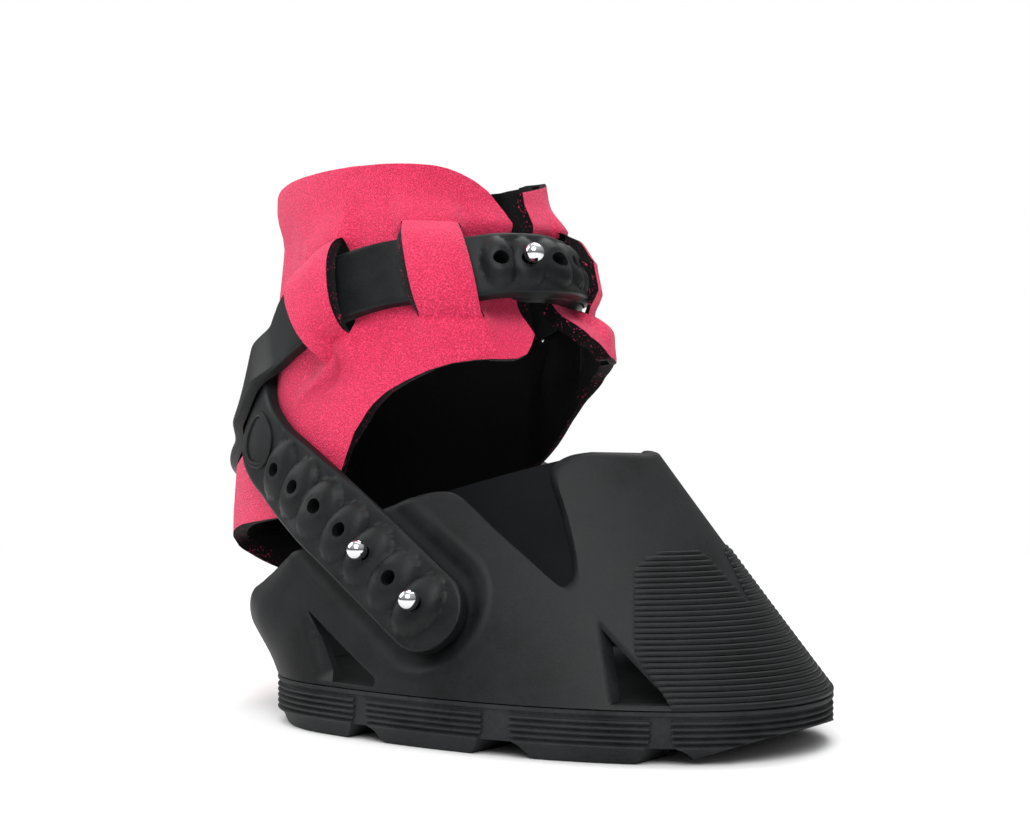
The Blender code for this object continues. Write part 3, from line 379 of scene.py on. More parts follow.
def inside_by(point, outline):
    """How deep a point lies inside a convex outline given in either turning sense."""
    depth, sign = 1e9, 0
    middle = sum((Vector(corner) for corner in outline), Vector((0, 0))) / len(outline)
    for a, b in zip(outline, outline[1:] + outline[:1]):
        way = (Vector(b) - Vector(a)).normalized()
        side = Vector((-way.y, way.x))
        if side.dot(middle - Vector(a)) < 0:
            side = -side
        depth = min(depth, side.dot(Vector(point) - Vector(a)))
    return depth


def shell_relief(x, z):
    """How far the outer wall stands out at a place in the side view: strap pocket and window scoops."""
    spot = Vector((x, z))
    start = FRONT_STUD + STRAP_WAY * 0.6
    back = max((start - spot).dot(STRAP_WAY), 0.0)
    depth = 16.4 - (spot - (start - STRAP_WAY * back)).length
    relief = -1.3 * smooth(depth / 3.6)
    relief += 0.35 * smooth(1 - abs(depth + 0.9) / 1.5)
    relief -= 1.8 * smooth(inside_by(spot, FRONT_SCOOP) / 3.6)
    relief -= 1.8 * smooth(inside_by(spot, HEEL_SCOOP) / 4.4)
    return relief


def heel_curl(x, below_rim):
    """How far the heel cup's top rounds inwards, above where it swells out a little."""
    share = 0.93 * max(1 - below_rim / 9.5, 0.0)
    swell = 1.7 * smooth(1 - (below_rim - 6.0) / 16.0)
    return (6.2 * (1 - math.sqrt(1 - share * share)) - swell) * smooth((-x - 62) / 16)


def build_shell():
    rim = curve_through(RIM, 0.95)
    tops = [(wall_angle(point.x, point.y), point.y) for point in rim]
    last = tops[-1]
    steps = 26
    tops += [(last[0] * (1 - k / steps), mix(last[1], 80.5, k / steps)) for k in range(1, steps + 1)]
    tops[0] = (math.pi, tops[0][1])
    for i in range(1, len(tops)):
        tops[i] = (min(tops[i][0], tops[i - 1][0]), tops[i][1])
    count = len(tops) - 1
    feet = []
    for i in range(count + 1):
        reach = min(i, count - i, 24)
        near = [tops[k][0] for k in range(i - reach, i + reach + 1)]
        feet.append(sum(near) / len(near))
    outer_rows = [k / 66 for k in range(67)]
    path = [("outer", share) for share in outer_rows]
    path += [("lip", math.pi * k / 6) for k in range(1, 6)]
    path += [("inner", share) for share in (1.0, 0.9, 0.75, 0.6, 0.45, 0.3, 0.15, 0.0)]
    path += [("outer", 0.0)]

    def column_place(column, share, inset):
        top_angle, top_z = tops[column]
        z = mix(SOLE_TOP, top_z, share)
        return mix(feet[column], top_angle, share), z, inset

    def outer(column, share):
        angle, z, _ = column_place(column, share, 0)
        spot = wall_point(angle, z)
        out = shell_relief(spot.x, z) * min(share * 30, 1.0) - heel_curl(spot.x, tops[column][1] - z)
        return spot + wall_normal(angle, z) * out

    def place(u, v):
        column = round(u * count)
        kind, share = path[round(v * (len(path) - 1))]
        if kind == "outer":
            return outer(column, share)
        angle, z, _ = column_place(column, share if kind == "inner" else 1.0, 0)
        inner = wall_point(angle, z, WALL)
        inner -= wall_normal(angle, z) * heel_curl(inner.x, tops[column][1] - z)
        if kind == "inner":
            return inner
        edge = outer(column, 1.0)
        up = (edge - outer(column, 0.98)).normalized()
        return (edge + inner) / 2 + (edge - inner) / 2 * math.cos(share) + up * 1.1 * math.sin(share)

    bm = bmesh.new()
    skin(bm, count, len(path) - 1, place)
    for vert in bm.verts:
        if abs(vert.co.y) < 0.05:
            vert.co.y = 0.0
    close_up(bm)
    bmesh.ops.mirror(bm, geom=bm.verts[:] + bm.edges[:] + bm.faces[:], axis="Y", merge_dist=0.004)
    close_up(bm)
    tools = []
    for side in (-1, 1):
        for window in (FRONT_WINDOW, HEEL_WINDOW):
            tools.append(prism(window, min(side * 20, side * 75), max(side * 20, side * 75)))
    for route_side in (-1, 1):
        for stud in (FRONT_STUD, REAR_STUD):
            tools.append(stud_bore(stud, route_side))
    bm = cut(bm, tools)
    return piece_from(bm, "shell_wall", SHELL_RUBBER, "boot", "upper_shell", 32)


def frame_matrix(spot, along, wide, normal):
    return Matrix.Translation(spot) @ Matrix((along, wide, normal)).transposed().to_4x4()


def stud_bore(stud, side):
    spot = right_wall(stud.x, stud.y)
    normal = wall_normal(wall_angle(stud.x, stud.y), stud.y)
    spot.y *= -side
    normal.y *= -side
    along = normal.orthogonal().normalized()
    bm = bmesh.new()
    bmesh.ops.create_cone(bm, cap_ends=True, segments=24, radius1=1.7, radius2=1.7, depth=16.0,
                          matrix=frame_matrix(spot, along, normal.cross(along), normal))
    return bm


def build_toe_ribs():
    """Fine level ribs over the toe, with a plain wedge down the middle."""
    bm = bmesh.new()
    for k in range(1, 29):
        z = SOLE_TOP + 1.42 * (k - 0.36)
        if z < 29.5:
            edge = mix(59.0, 45.6, smooth((z - 15) / 14.5) * 0.2 + 0.8 * (z - 15) / 14.5)
        else:
            edge = mix(45.6, 37.9, min((z - 29.5) / 20.3, 1.0)) + 5.0 * (1 - math.sqrt(
                max(1 - max((z - 49.0) / 6.0, 0.0) ** 2, 0.0)))
        first = wall_angle(edge, z)
        apex = 5.8 * (z - 40.6) / 14.0
        if apex > 0:
            near = 0.02
            while abs(wall_point(near, z).y) < apex:
                near += 0.002
        else:
            near = 0.0
        if first - near < 0.05:
            continue
        length = (wall_point(first, z) - wall_point(near, z)).length
        columns = max(int(length / 1.3), 6)

        def place(u, v, z=z, first=first, near=near, length=length, apex=apex):
            angle = mix(near, first, u)
            ends = min(1.0, (1 - u) * length / 2.2) if apex <= 0 else min(1.0, (1 - u) * length / 2.2,
                                                                           u * length / 1.6)
            across = v * 2 - 1
            rise = 0.55 * math.sqrt(max(1 - across * across, 0.0)) * smooth(ends * 0.75 + 0.25) * min(
                ends * 4, 1.0)
            height = z + across * 0.52
            spot = wall_point(angle, height)
            if angle == 0.0:
                spot.y = 0.0
            return spot + wall_normal(angle, height) * (rise - 0.12) if angle > 0 else spot + Vector(
                wall_normal(0.0, height) * (rise - 0.12)) * Vector((1, 0, 1))
        skin(bm, columns, 6, place)
    bmesh.ops.solidify(bm, geom=bm.faces[:], thickness=0.3)
    for vert in bm.verts:
        if abs(vert.co.y) < 0.03:
            vert.co.y = 0.0
    bmesh.ops.mirror(bm, geom=bm.verts[:] + bm.edges[:] + bm.faces[:], axis="Y", merge_dist=0.004)
    bmesh.ops.recalc_face_normals(bm, faces=bm.faces)
    return piece_from(bm, "toe_ribs", SHELL_RUBBER, "boot", None, 60)


def build_webs():
    """Soft webs bonded behind the V notches."""
    for side, name in ((-1, "gusset_right"), (1, "gusset_left")):
        def place(u, v):
            left = Vector((mix(-14.0, 26.0, v) - 3.5, mix(73.5, 41.6, v) - 3.5 * (1 - v)))
            right = Vector((mix(9.3, 26.0, v) + 3.5, mix(83.0, 41.6, v) - 3.5 * (1 - v)))
            spot = left.lerp(right, u)
            sag = -0.9 * math.sin(math.pi * u) * math.sin(math.pi * min(v * 1.2, 1.0)) * (1 - v)
            angle = wall_angle(spot.x, spot.y)
            point = wall_point(angle, spot.y, WALL + 0.35 - sag)
            point.y *= -side
            return point
        bm = bmesh.new()
        skin(bm, 30, 30, place)
        bmesh.ops.recalc_face_normals(bm, faces=bm.faces)
        if sum(face.normal.y * side for face in bm.faces) < 0:
            bmesh.ops.reverse_faces(bm, faces=bm.faces)
        bmesh.ops.solidify(bm, geom=bm.faces[:], thickness=1.2)
        bmesh.ops.recalc_face_normals(bm, faces=bm.faces)
        piece_from(bm, name + "_web", WEB_RUBBER, "boot", name)


# Outsole

BLOCKS = ((-96, -32, 26), (-27.6, 10.8, 26), (18.8, 54.2, 26), (58.9, 90, 0))


def sole_ring(angle, z, inset):
    spot = wall_point(angle, SOLE_TOP, inset)
    return Vector((spot.x, spot.y, z))


def ring_body(rows, count):
    """A closed body from level rings of the sole's outline, each (height, inset)."""
    bm = bmesh.new()

    def place(u, v):
        height, inset = rows[round(v * (len(rows) - 1))]
        return sole_ring(u * math.tau, height, inset)
    skin(bm, count, len(rows) - 1, place)
    bmesh.ops.remove_doubles(bm, verts=bm.verts, dist=0.002)
    bmesh.ops.holes_fill(bm, edges=[edge for edge in bm.edges if edge.is_boundary], sides=0)
    bmesh.ops.recalc_face_normals(bm, faces=bm.faces)
    return bm


def build_outsole():
    plate = ring_body([(4.6, 1.5), (5.0, 1.1), (12.2, 1.0), (12.9, 0.7), (13.3, 0.1), (13.6, -0.05), (14.2, 0.0),
                       (14.45, 0.25)], 260)
    rows = [(-0.6, 3.6), (0.0, 3.3), (0.5, 2.7), (1.5, 2.2), (3.4, 1.5)]
    for k in range(5):
        low = 4.0 + 1.66 * k
        rows += [(low, 0.95), (low + 0.3, 0.75), (low + 0.55, 0.2), (low + 0.85, 0.0), (low + 1.15, 0.2),
                 (low + 1.4, 0.75)]
    rows += [(12.4, 1.0), (12.8, 1.3)]
    ribbed = ring_body(rows, 260)
    blocks = []
    for rear, front, inner in BLOCKS:
        outline = ((rear + 5.6, -4), (rear + 5.6, -0.2), (rear + 4.6, 0.4), (rear + 1.0, 5.0), (rear + 0.2, 6.6),
                   (rear, 9.0), (rear, 16), (front, 16), (front, 9.0), (front - 0.2, 6.6),
                   (front - 1.0, 5.0), (front - 4.6, 0.4), (front - 5.6, -0.2), (front - 5.6, -4))
        if inner:
            blocks += [prism(outline, -70, -inner), prism(outline, inner, 70)]
        else:
            blocks.append(prism(outline, -70, 70))
    for middle in (-58.1, -34.5, -10.9, 12.6):
        blocks.append(prism(((middle - 6.5, -4), (middle - 6.5, 9), (middle + 6.5, 9), (middle + 6.5, -4)),
                            -17, 17))
    joined = cut(blocks[0], blocks[1:], "UNION")
    treads = cut(ribbed, [joined], "INTERSECT")
    sole = cut(plate, [treads], "UNION")
    low = prism(((-100, -5), (100, -5), (100, 15.5), (84, 9.9), (57.5, 0.0), (-77.4, 0.0), (-92.0, 3.9),
                 (-100, 5.0)), -80, 80)
    sole = cut(sole, [low])
    return piece_from(sole, "tread_sole", TREAD_RUBBER, "boot", "outsole", 28)


# Cuff

SECTIONS = ((31.9, -57.1, 42.5, 45.1, 2.5), (36.5, -57.6, 44.5, 45.6, 2.4), (40.0, -60.0, 52.0, 45.8, 2.4),
            (44.0, -62.2, 60.5, 45.8, 2.4), (48.0, -63.6, 67.0, 46.0, 2.4), (52.1, -64.0, 68.8, 46.0, 2.4), (60, -64, 68.5, 46.0, 2.4),
            (75.9, -63.5, 67.5, 47.0, 2.3), (92, -60.5, 64.0, 47.0, 2.1), (110, -58.3, 60.5, 47.0, 2.0),
            (130, -61.5, 55.0, 45.0, 2.0), (145, -64.5, 50.5, 42.5, 2.0), (157, -67.9, 47.5, 40.4, 2.0),
            (169.7, -69.2, 46.4, 39.5, 2.0))
RIGHT_EDGES = ((13, 116.0, 150.5), (16, 113.0, 156.0), (20, 110.3, 160.0), (26, 108.9, 163.2), (32, 108.7, 165.4),
               (37, 108.7, 166.7), (42, 108.5, 167.5), (50, 107.5, 168.0), (57, 105.5, 168.2), (64, 102.5, 168.2),
               (70, 99.3, 168.0), (75, 95.0, 168.0), (80, 87.4, 167.7), (82.6, 80.2, 167.6), (84, 74.9, 167.5),
               (88, 63.0, 167.3), (96, 61.4, 166.7), (102, 60.6, 166.3), (112, 59.0, 165.4), (124, 57.3, 164.0),
               (138, 54.3, 161.8), (148, 50.8, 160.2), (155, 46.5, 159.3), (162, 41.5, 158.5), (171, 38.0, 157.9),
               (180, 37.0, 157.6))
LEFT_EDGES = ((-3, 117.0, 160.5), (6, 112.6, 161.8), (16, 110.0, 163.3), (26, 108.9, 164.8), (32, 108.7, 165.6),
              (40, 108.3, 167.2), (51, 104.7, 168.0), (61, 97.0, 168.0), (69, 90.0, 168.0), (75, 83.0, 168.0),
              (81, 76.8, 167.7), (84, 74.0, 167.5))
SLITS = (37, 57, 80, 102, 277, 299, 322, 342)
OVER_PLACES = (("shell", 0.4751, 0.363), ("shell", 0.5511, 0.4633), ("shell", 0.6663, 0.615),
               ("shell", 0.7357, 0.700), ("shell", 0.805, 0.775), ("cuff", 256, 0.430), ("cuff", 243, 0.442),
               ("cuff", 228, 0.446), ("cuff", 212, 0.446), ("cuff", 196, 0.450), ("cuff", 178, 0.462),
               ("cuff", 163, 0.490), ("cuff", 150, 0.536), ("cuff", 137, 0.596), ("cuff", 126, 0.648),
               ("cuff", 115, 0.690), ("cuff", 102, 0.722), ("cuff", 88, 0.762), ("cuff", 72, 0.788),
               ("cuff", 57, 0.800), ("cuff", 42, 0.797), ("cuff", 30, 0.793), ("cuff", 17, 0.791),
               ("cuff", 3, 0.793), ("cuff", -11, 0.797), ("cuff", -25, 0.798), ("cuff", -42, 0.794),
               ("cuff", -60, 0.786))
UNDER_PLACES = (("shell", 0.4751, 0.363), ("shell", 0.5511, 0.4633), ("shell", 0.6663, 0.615),
                ("shell", 0.7357, 0.703), ("shell", 0.805, 0.790), ("cuff", 101, 0.462), ("cuff", 112, 0.507),
                ("cuff", 124, 0.553), ("cuff", 136, 0.597), ("cuff", 149, 0.636), ("cuff", 163, 0.660),
                ("cuff", 180, 0.680), ("cuff", 200, 0.700), ("cuff", 222, 0.714), ("cuff", 245, 0.726),
                ("cuff", 268, 0.745), ("cuff", 288, 0.773), ("cuff", 310, 0.790), ("cuff", 332, 0.797),
                ("cuff", 352, 0.797), ("cuff", 370, 0.794), ("cuff", 388, 0.793), ("cuff", 400, 0.794))


def band(value, low, high, fade):
    """One between two values, and down to nothing over the fade beyond them."""
    return smooth((value - low) / fade + 1) * smooth((high - value) / fade + 1)


def pressed(turn, z):
    """How far the straps press the soft cuff in, less how far it stands out round its left front."""
    around = (turn + 180) % 360 - 180
    closure = 4.0 * band(around, -66, 29, 14) * band(z, 124, 143, 8)
    loop = 3.8 * band(around, -42, -16, 24) * band(z, 127, 141, 10)
    crossing = 3.4 * band(around, 130, 158, 20) * band(z, 90, 110, 16)
    slim = 2.6 * band(around, 118, 158, 16) * band(z, 118, 146, 12)
    swell = 2.2 * band(around, -62, 0, 14) * band(z, 104, 119, 9)
    return closure + loop + crossing + slim - swell


def cuff_point(turn, z):
    centre, length, half, power = table_at(SECTIONS, z)
    angle = math.radians(turn)
    inward = pressed(turn, z)
    return Vector((centre + (length - inward) * power_of(math.cos(angle), 2 / power),
                   -(half - inward) * power_of(math.sin(angle), 2 / power), z))


def cuff_normal(turn, z):
    round_way = cuff_point(turn + 1, z) - cuff_point(turn - 1, z)
    up = cuff_point(turn, z + 2) - cuff_point(turn, z - 2)
    normal = up.cross(round_way).normalized()
    outward = cuff_point(turn, z) - Vector((table_at(SECTIONS, z)[0], 0.0, z))
    return normal if normal.dot(outward) > 0 else -normal


def plain_normal(turn, z):
    """The cuff's outward direction before anything presses it."""
    centre, length, half, power = table_at(SECTIONS, z)
    angle = math.radians(turn)
    across = Vector((power_of(math.cos(angle), 2 - 2 / power) / length,
                     -power_of(math.sin(angle), 2 - 2 / power) / half, 0.0)).normalized()
    lean = (cuff_point(turn, z + 14) - cuff_point(turn, z - 14)).normalized()
    return (across - lean * across.dot(lean)).normalized()


def strap_height(places, turn):
    rows = sorted((row[1], row[2]) for row in places if row[0] == "cuff")
    return table_at(rows, turn)[0] * 168.0


def loop_middle(turn):
    if turn > 299:
        return (strap_height(UNDER_PLACES, turn) + strap_height(OVER_PLACES, turn - 360)) / 2 + 0.6
    return strap_height(OVER_PLACES if turn <= 180 else UNDER_PLACES, turn) + 0.6


def loop_rise(turn):
    """How far the cuff stands out in a loop over the straps under it."""
    one = NEOPRENE + LAYER_GAP * 3 + STRAP_THICKNESS
    for low, high, first, last in ((37, 57, 1.2, 0.2), (80, 102, 0.8, 1.0), (322, 342, 5.5, 7.5),
                                   (277, 299, 0.6, 0.6)):
        if low <= turn <= high:
            return one + mix(first, last, (turn - low) / (high - low))
    return 0.0


def loop_reach(turn):
    """Half the length of a slit: the ones at the far side, over one narrow strap, are shorter."""
    return 14.5 - 2.9 * band(turn, 262, 308, 12) - 1.9 * band(turn, 321, 344, 9)


def loop_skirt(turn):
    """Where round the leg the cuff is drawn up above and below its loops."""
    return max(band(turn, low, high, 6) for low, high in ((38, 56), (81, 101), (278, 298), (323, 341)))


def cuff_edges(turn):
    around = turn if turn <= 180 else 360 - turn
    if turn > 180 and around < 84:
        return table_at(LEFT_EDGES, around)
    return table_at(RIGHT_EDGES, around)


def edge_shift(turn, z):
    """The slope of the two front edges, which fades out before the first slit, and of the rear slit."""
    near = turn < 180
    if 66 < turn < 128:
        drop = min(max((131 - z) / 22, 0.0), 1.0) ** 1.4 * smooth((z - 84) / 22)
        return -(3.0 + 9.5 * drop) * band(turn, 101, 103, 20) * band(z, 108, 140, 16)
    if near:
        wanted = table_at(((110, 19.5), (118, 20.6), (126, 21), (135, 18.5), (150, 13)), z)[0] - 13
        return wanted * smooth(1 - (turn - 13) / 24)
    wanted = table_at(((110, 350), (116, 356), (122, 361.5), (128, 363), (140, 362), (152, 361)), z)[0] - 361
    return wanted * smooth(1 - (361 - turn) / 19)


SLIT_SHARES = (0.0, 0.035, 0.07, 0.10, 0.13, 0.2, 0.3, 0.4, 0.5, 0.6, 0.7, 0.8, 0.87, 0.90, 0.93, 0.965, 1.0)


def build_cuff():
    stops = sorted([13.0, 361.0, 180.0] + list(SLITS))
    turns = []
    for low, high in zip(stops, stops[1:]):
        parts = max(2, round((high - low) / 1.9))
        turns += [mix(low, high, i / parts) for i in range(parts)]
    turns.append(361.0)
    below, above = 34, 12
    first, last = below, below + len(SLIT_SHARES) - 1
    rows = last + above

    def heights(turn):
        low, high = cuff_edges(turn)
        middle = loop_middle(turn)
        inset = (high - low) / 20
        bottom = min(max(middle - loop_reach(turn), low + inset * 2), high - inset * 6)
        top = max(min(middle + loop_reach(turn), high - inset), bottom + inset * 3)
        line = [mix(low, bottom, (i / below) ** 1.15) for i in range(below)]
        line += [mix(bottom, top, share) for share in SLIT_SHARES]
        return line + [mix(top, high, i / above) for i in range(1, above + 1)]

    lines = {turn: heights(turn) for turn in turns}
    bm = bmesh.new()
    skin(bm, len(turns) - 1, rows, lambda u, v: Vector((round(u * (len(turns) - 1)), round(v * rows), 0.0)))
    slit_columns = {turns.index(slit) for slit in SLITS}
    slit_edges = [edge for edge in bm.edges if edge.verts[0].co.x == edge.verts[1].co.x
                  and edge.verts[0].co.x in slit_columns
                  and first <= min(v.co.y for v in edge.verts) and max(v.co.y for v in edge.verts) <= last]
    bmesh.ops.split_edges(bm, edges=slit_edges)
    cloth = bm.loops.layers.uv.new("cloth")
    seat = bm.verts.layers.float_vector.new("seat")
    for vert in bm.verts:
        column, row = int(vert.co.x), int(vert.co.y)
        turn = turns[column]
        side = 0.0
        if column in slit_columns and first < row < last:
            middle = sum(face.calc_center_median().x for face in vert.link_faces) / len(vert.link_faces)
            side = 1.0 if middle > column else -1.0
        vert[seat] = Vector((turn, lines[turn][row], side))
    for face in bm.faces:
        for loop in face.loops:
            turn, z, _ = loop.vert[seat]
            loop[cloth].uv = (math.radians(turn) * 52.0, z)
    flat_faces = bm.faces[:]
    made = bmesh.ops.extrude_face_region(bm, geom=flat_faces, use_keep_orig=True)["geom"]
    backs = {item for item in made if isinstance(item, bmesh.types.BMVert)}
    back_faces = {item for item in made if isinstance(item, bmesh.types.BMFace)}
    fronts = set(flat_faces)
    for vert in bm.verts:
        turn, z, side = vert[seat]
        half = math.degrees(0.5 / table_at(SECTIONS, z)[2])
        shown = turn + side * half
        lift_turn = turn + side * 0.01
        rise = loop_rise(lift_turn) if (side or turn not in SLITS) else 0.0
        away = abs(z - loop_middle(turn))
        back = vert in backs
        reach = loop_reach(turn)
        skirt = 3.2 * loop_skirt(turn) * smooth((reach + 14 - away) / 14)
        skirt *= 1.0 if rise else smooth((away - reach) / 4.5 + 1)
        dome = max(1 - (away / reach) ** 2.7, 0.0) ** 0.8 if rise else 0.0
        lift = skirt + max(rise + 0.8 - skirt, 0.0) * dome
        if rise and turn > 311:
            dome = math.sqrt(max(1 - (away / reach) ** 2, 0.0))
            lift = pressed(turn, z) * smooth((1 - away / reach) * 5) + mix(skirt, 6.2, dome)
        bulge = 0.5 * math.sin(turn * 0.11 + z * 0.05) * smooth((z - 60) / 30)
        spot = shown + edge_shift(shown, z)
        if back and (turn, side) in ((57, -1), (342, -1)):
            spot += (3.2 if turn == 57 else 5.0) * dome
        normal = cuff_normal(spot, z)
        depth = 0.0
        if back:
            depth = NEOPRENE * (mix(0.5, 1.0, math.sqrt(dome)) if rise else 1 - 0.5 * max(1 - abs(away - reach) / 4, 0.0)
                                * loop_skirt(turn))
        vert.co = cuff_point(spot, z) + plain_normal(spot, z) * lift - normal * (depth + (0.25 - 0.5 * bulge) * 0.5)
    for face in bm.faces:
        face.material_index = 0 if face in fronts else 1 if face in back_faces else 2
    bmesh.ops.recalc_face_normals(bm, faces=bm.faces)
    rims = [edge for edge in bm.edges if len(edge.link_faces) == 2
            and sorted(face.material_index for face in edge.link_faces) in ([0, 2], [1, 2])]
    bmesh.ops.bevel(bm, geom=rims, offset=0.7, affect="EDGES", segments=2, profile=0.5, material=-1,
                    clamp_overlap=True)
    cuff = piece_from(bm, "neoprene_cuff", [JERSEY, LINING, CUT_EDGE], "cuff", "gaiter", 50)
    area = sum(face.area for face in cuff.data.polygons if face.material_index == 0)
    print("cuff outer area", round(area, 5))
    return cuff


# Straps

class Route:
    """A strap's centre line on the leg, as points and outward normals, read by length."""

    STEPS = 12

    def __init__(self, places, side, lifts):
        points, normals, self.turns = [], [], []
        for kind, first, second in places:
            if kind == "shell":
                x, z = TOE_X - first * 168.4, second * 81.8
                point, normal = right_wall(x, z), wall_normal(wall_angle(x, z), z)
                point.y *= -side
                normal.y *= -side
                lift, turn = 0.7, None
            else:
                z = second * 168.0
                point, normal, lift, turn = cuff_point(first, z), plain_normal(first, z), LAYER_GAP, first
            points.append(point + normal * lift)
            normals.append(normal)
            self.turns.append(turn)
        samples, raised = [], []
        for i in range(len(points) - 1):
            p0, p3 = points[max(i - 1, 0)], points[min(i + 2, len(points) - 1)]
            p1, p2 = points[i], points[i + 1]
            for step in range(self.STEPS):
                u = step / self.STEPS
                spot = 0.5 * (2 * p1 + (p2 - p0) * u + (2 * p0 - 5 * p1 + 4 * p2 - p3) * u * u
                              + (3 * p1 - p0 - 3 * p2 + p3) * u ** 3)
                on_cuff = self.turns[i] is not None
                turn = mix(self.turns[i], self.turns[i + 1], u) if on_cuff else None
                samples.append((spot, normals[i].lerp(normals[i + 1], u).normalized()))
                raised.append(self.lift_at(turn, lifts) if on_cuff else 0.0)
        samples.append((points[-1], normals[-1]))
        raised.append(self.lift_at(self.turns[-1], lifts))
        self.samples = samples
        leans = [self.lean(i) if self.turns[i // self.STEPS] is not None else 0.0 for i in range(len(samples))]
        leans = [sum(leans[max(i - 8, 0):i + 9]) / len(leans[max(i - 8, 0):i + 9]) for i in range(len(leans))]
        samples = [(spot, (normal + self.across(i) * lean).normalized())
                   for i, ((spot, normal), lean) in enumerate(zip(samples, leans))]
        self.samples = samples
        short = [self.shortfall(i) for i in range(len(samples))]
        wide = [max(short[max(i - 10, 0):i + 11]) for i in range(len(short))]
        even = [sum(wide[max(i - 10, 0):i + 11]) / len(wide[max(i - 10, 0):i + 11]) for i in range(len(wide))]
        self.samples = [(spot + normal * (lift + more), normal)
                        for (spot, normal), lift, more in zip(samples, raised, even)]
        first = self.turns.index(next(turn for turn in self.turns if turn is not None)) * self.STEPS
        spots = [spot for spot, _ in self.samples]
        for i in range(first, len(spots) - 1):
            reach = min(i - first, len(spots) - 1 - i, 7)
            near = spots[i - reach:i + reach + 1]
            self.samples[i] = (sum(near, Vector()) / len(near), self.samples[i][1])
        self.lengths = [0.0]
        for (a, _), (b, _) in zip(self.samples, self.samples[1:]):
            self.lengths.append(self.lengths[-1] + (b - a).length)

    @staticmethod
    def lift_at(turn, lifts):
        return sum(rise * smooth(min(turn - low, high - turn) / fade + 1) for low, high, rise, fade in lifts)

    def across(self, index):
        after = self.samples[min(index + 1, len(self.samples) - 1)][0]
        before = self.samples[max(index - 1, 0)][0]
        return self.samples[index][1].cross((after - before).normalized())

    def lean(self, index):
        """The slope by which the strap leans so that both its edges lie on the cuff."""
        spot, wide = self.samples[index][0], self.across(index) * UPPER_WIDTH / 2
        slope = (cuff_clearance(spot + wide) - cuff_clearance(spot - wide)) / UPPER_WIDTH
        return min(max(slope, -0.6), 0.6)

    def shortfall(self, index):
        spot, wide = self.samples[index][0], self.across(index)
        clear = [cuff_clearance(spot + wide * UPPER_WIDTH / 2 * share) for share in (-1.0, -0.5, 0.0, 0.5, 1.0)]
        return max(LAYER_GAP - min(clear), 0.0)

    def turn_length(self, turn):
        for i in range(len(self.turns) - 1):
            a, b = self.turns[i], self.turns[i + 1]
            if a is not None and min(a, b) <= turn <= max(a, b):
                return mix(self.lengths[i * 12], self.lengths[(i + 1) * 12], (turn - a) / (b - a))
        return self.lengths[-1]

    def frame(self, length):
        length = min(max(length, 0.0), self.lengths[-1])
        low, high = 0, len(self.lengths) - 2
        while low < high:
            middle = (low + high + 1) // 2
            if self.lengths[middle] <= length:
                low = middle
            else:
                high = middle - 1
        u = (length - self.lengths[low]) / (self.lengths[low + 1] - self.lengths[low])
        (a, na), (b, nb) = self.samples[low], self.samples[low + 1]
        before, after = self.samples[max(low - 1, 0)][0], self.samples[min(low + 2, len(self.samples) - 1)][0]
        along = (b - before).normalized().lerp((after - a).normalized(), u).normalized()
        normal = na.lerp(nb, u)
        normal = (normal - along * normal.dot(along)).normalized()
        return a.lerp(b, u), along, normal.cross(along), normal


def cuff_clearance(point):
    centre, length, half, power = table_at(SECTIONS, point.z)
    along = power_of((point.x - centre) / length, power / 2)
    across = power_of(-point.y / half, power / 2)
    turn = math.degrees(math.atan2(across, along))
    return (point - cuff_point(turn, point.z)).dot(cuff_normal(turn, point.z))


def disc_ring(place):
    """The raised ring round the bare disc behind the last bead."""
    bm = bmesh.new()
    low, top = STRAP_THICKNESS - 0.5, STRAP_THICKNESS + 0.75
    profile = [(7.0, low), (7.0, top - 0.25), (7.25, top), (8.35, top), (8.6, top - 0.25), (8.6, low), (7.0, low)]
    turned(bm, profile, (Vector((place, 0.0, 0.0)), Vector((1, 0, 0)), Vector((0, 1, 0)), Vector((0, 0, 1))), 56)
    return bm


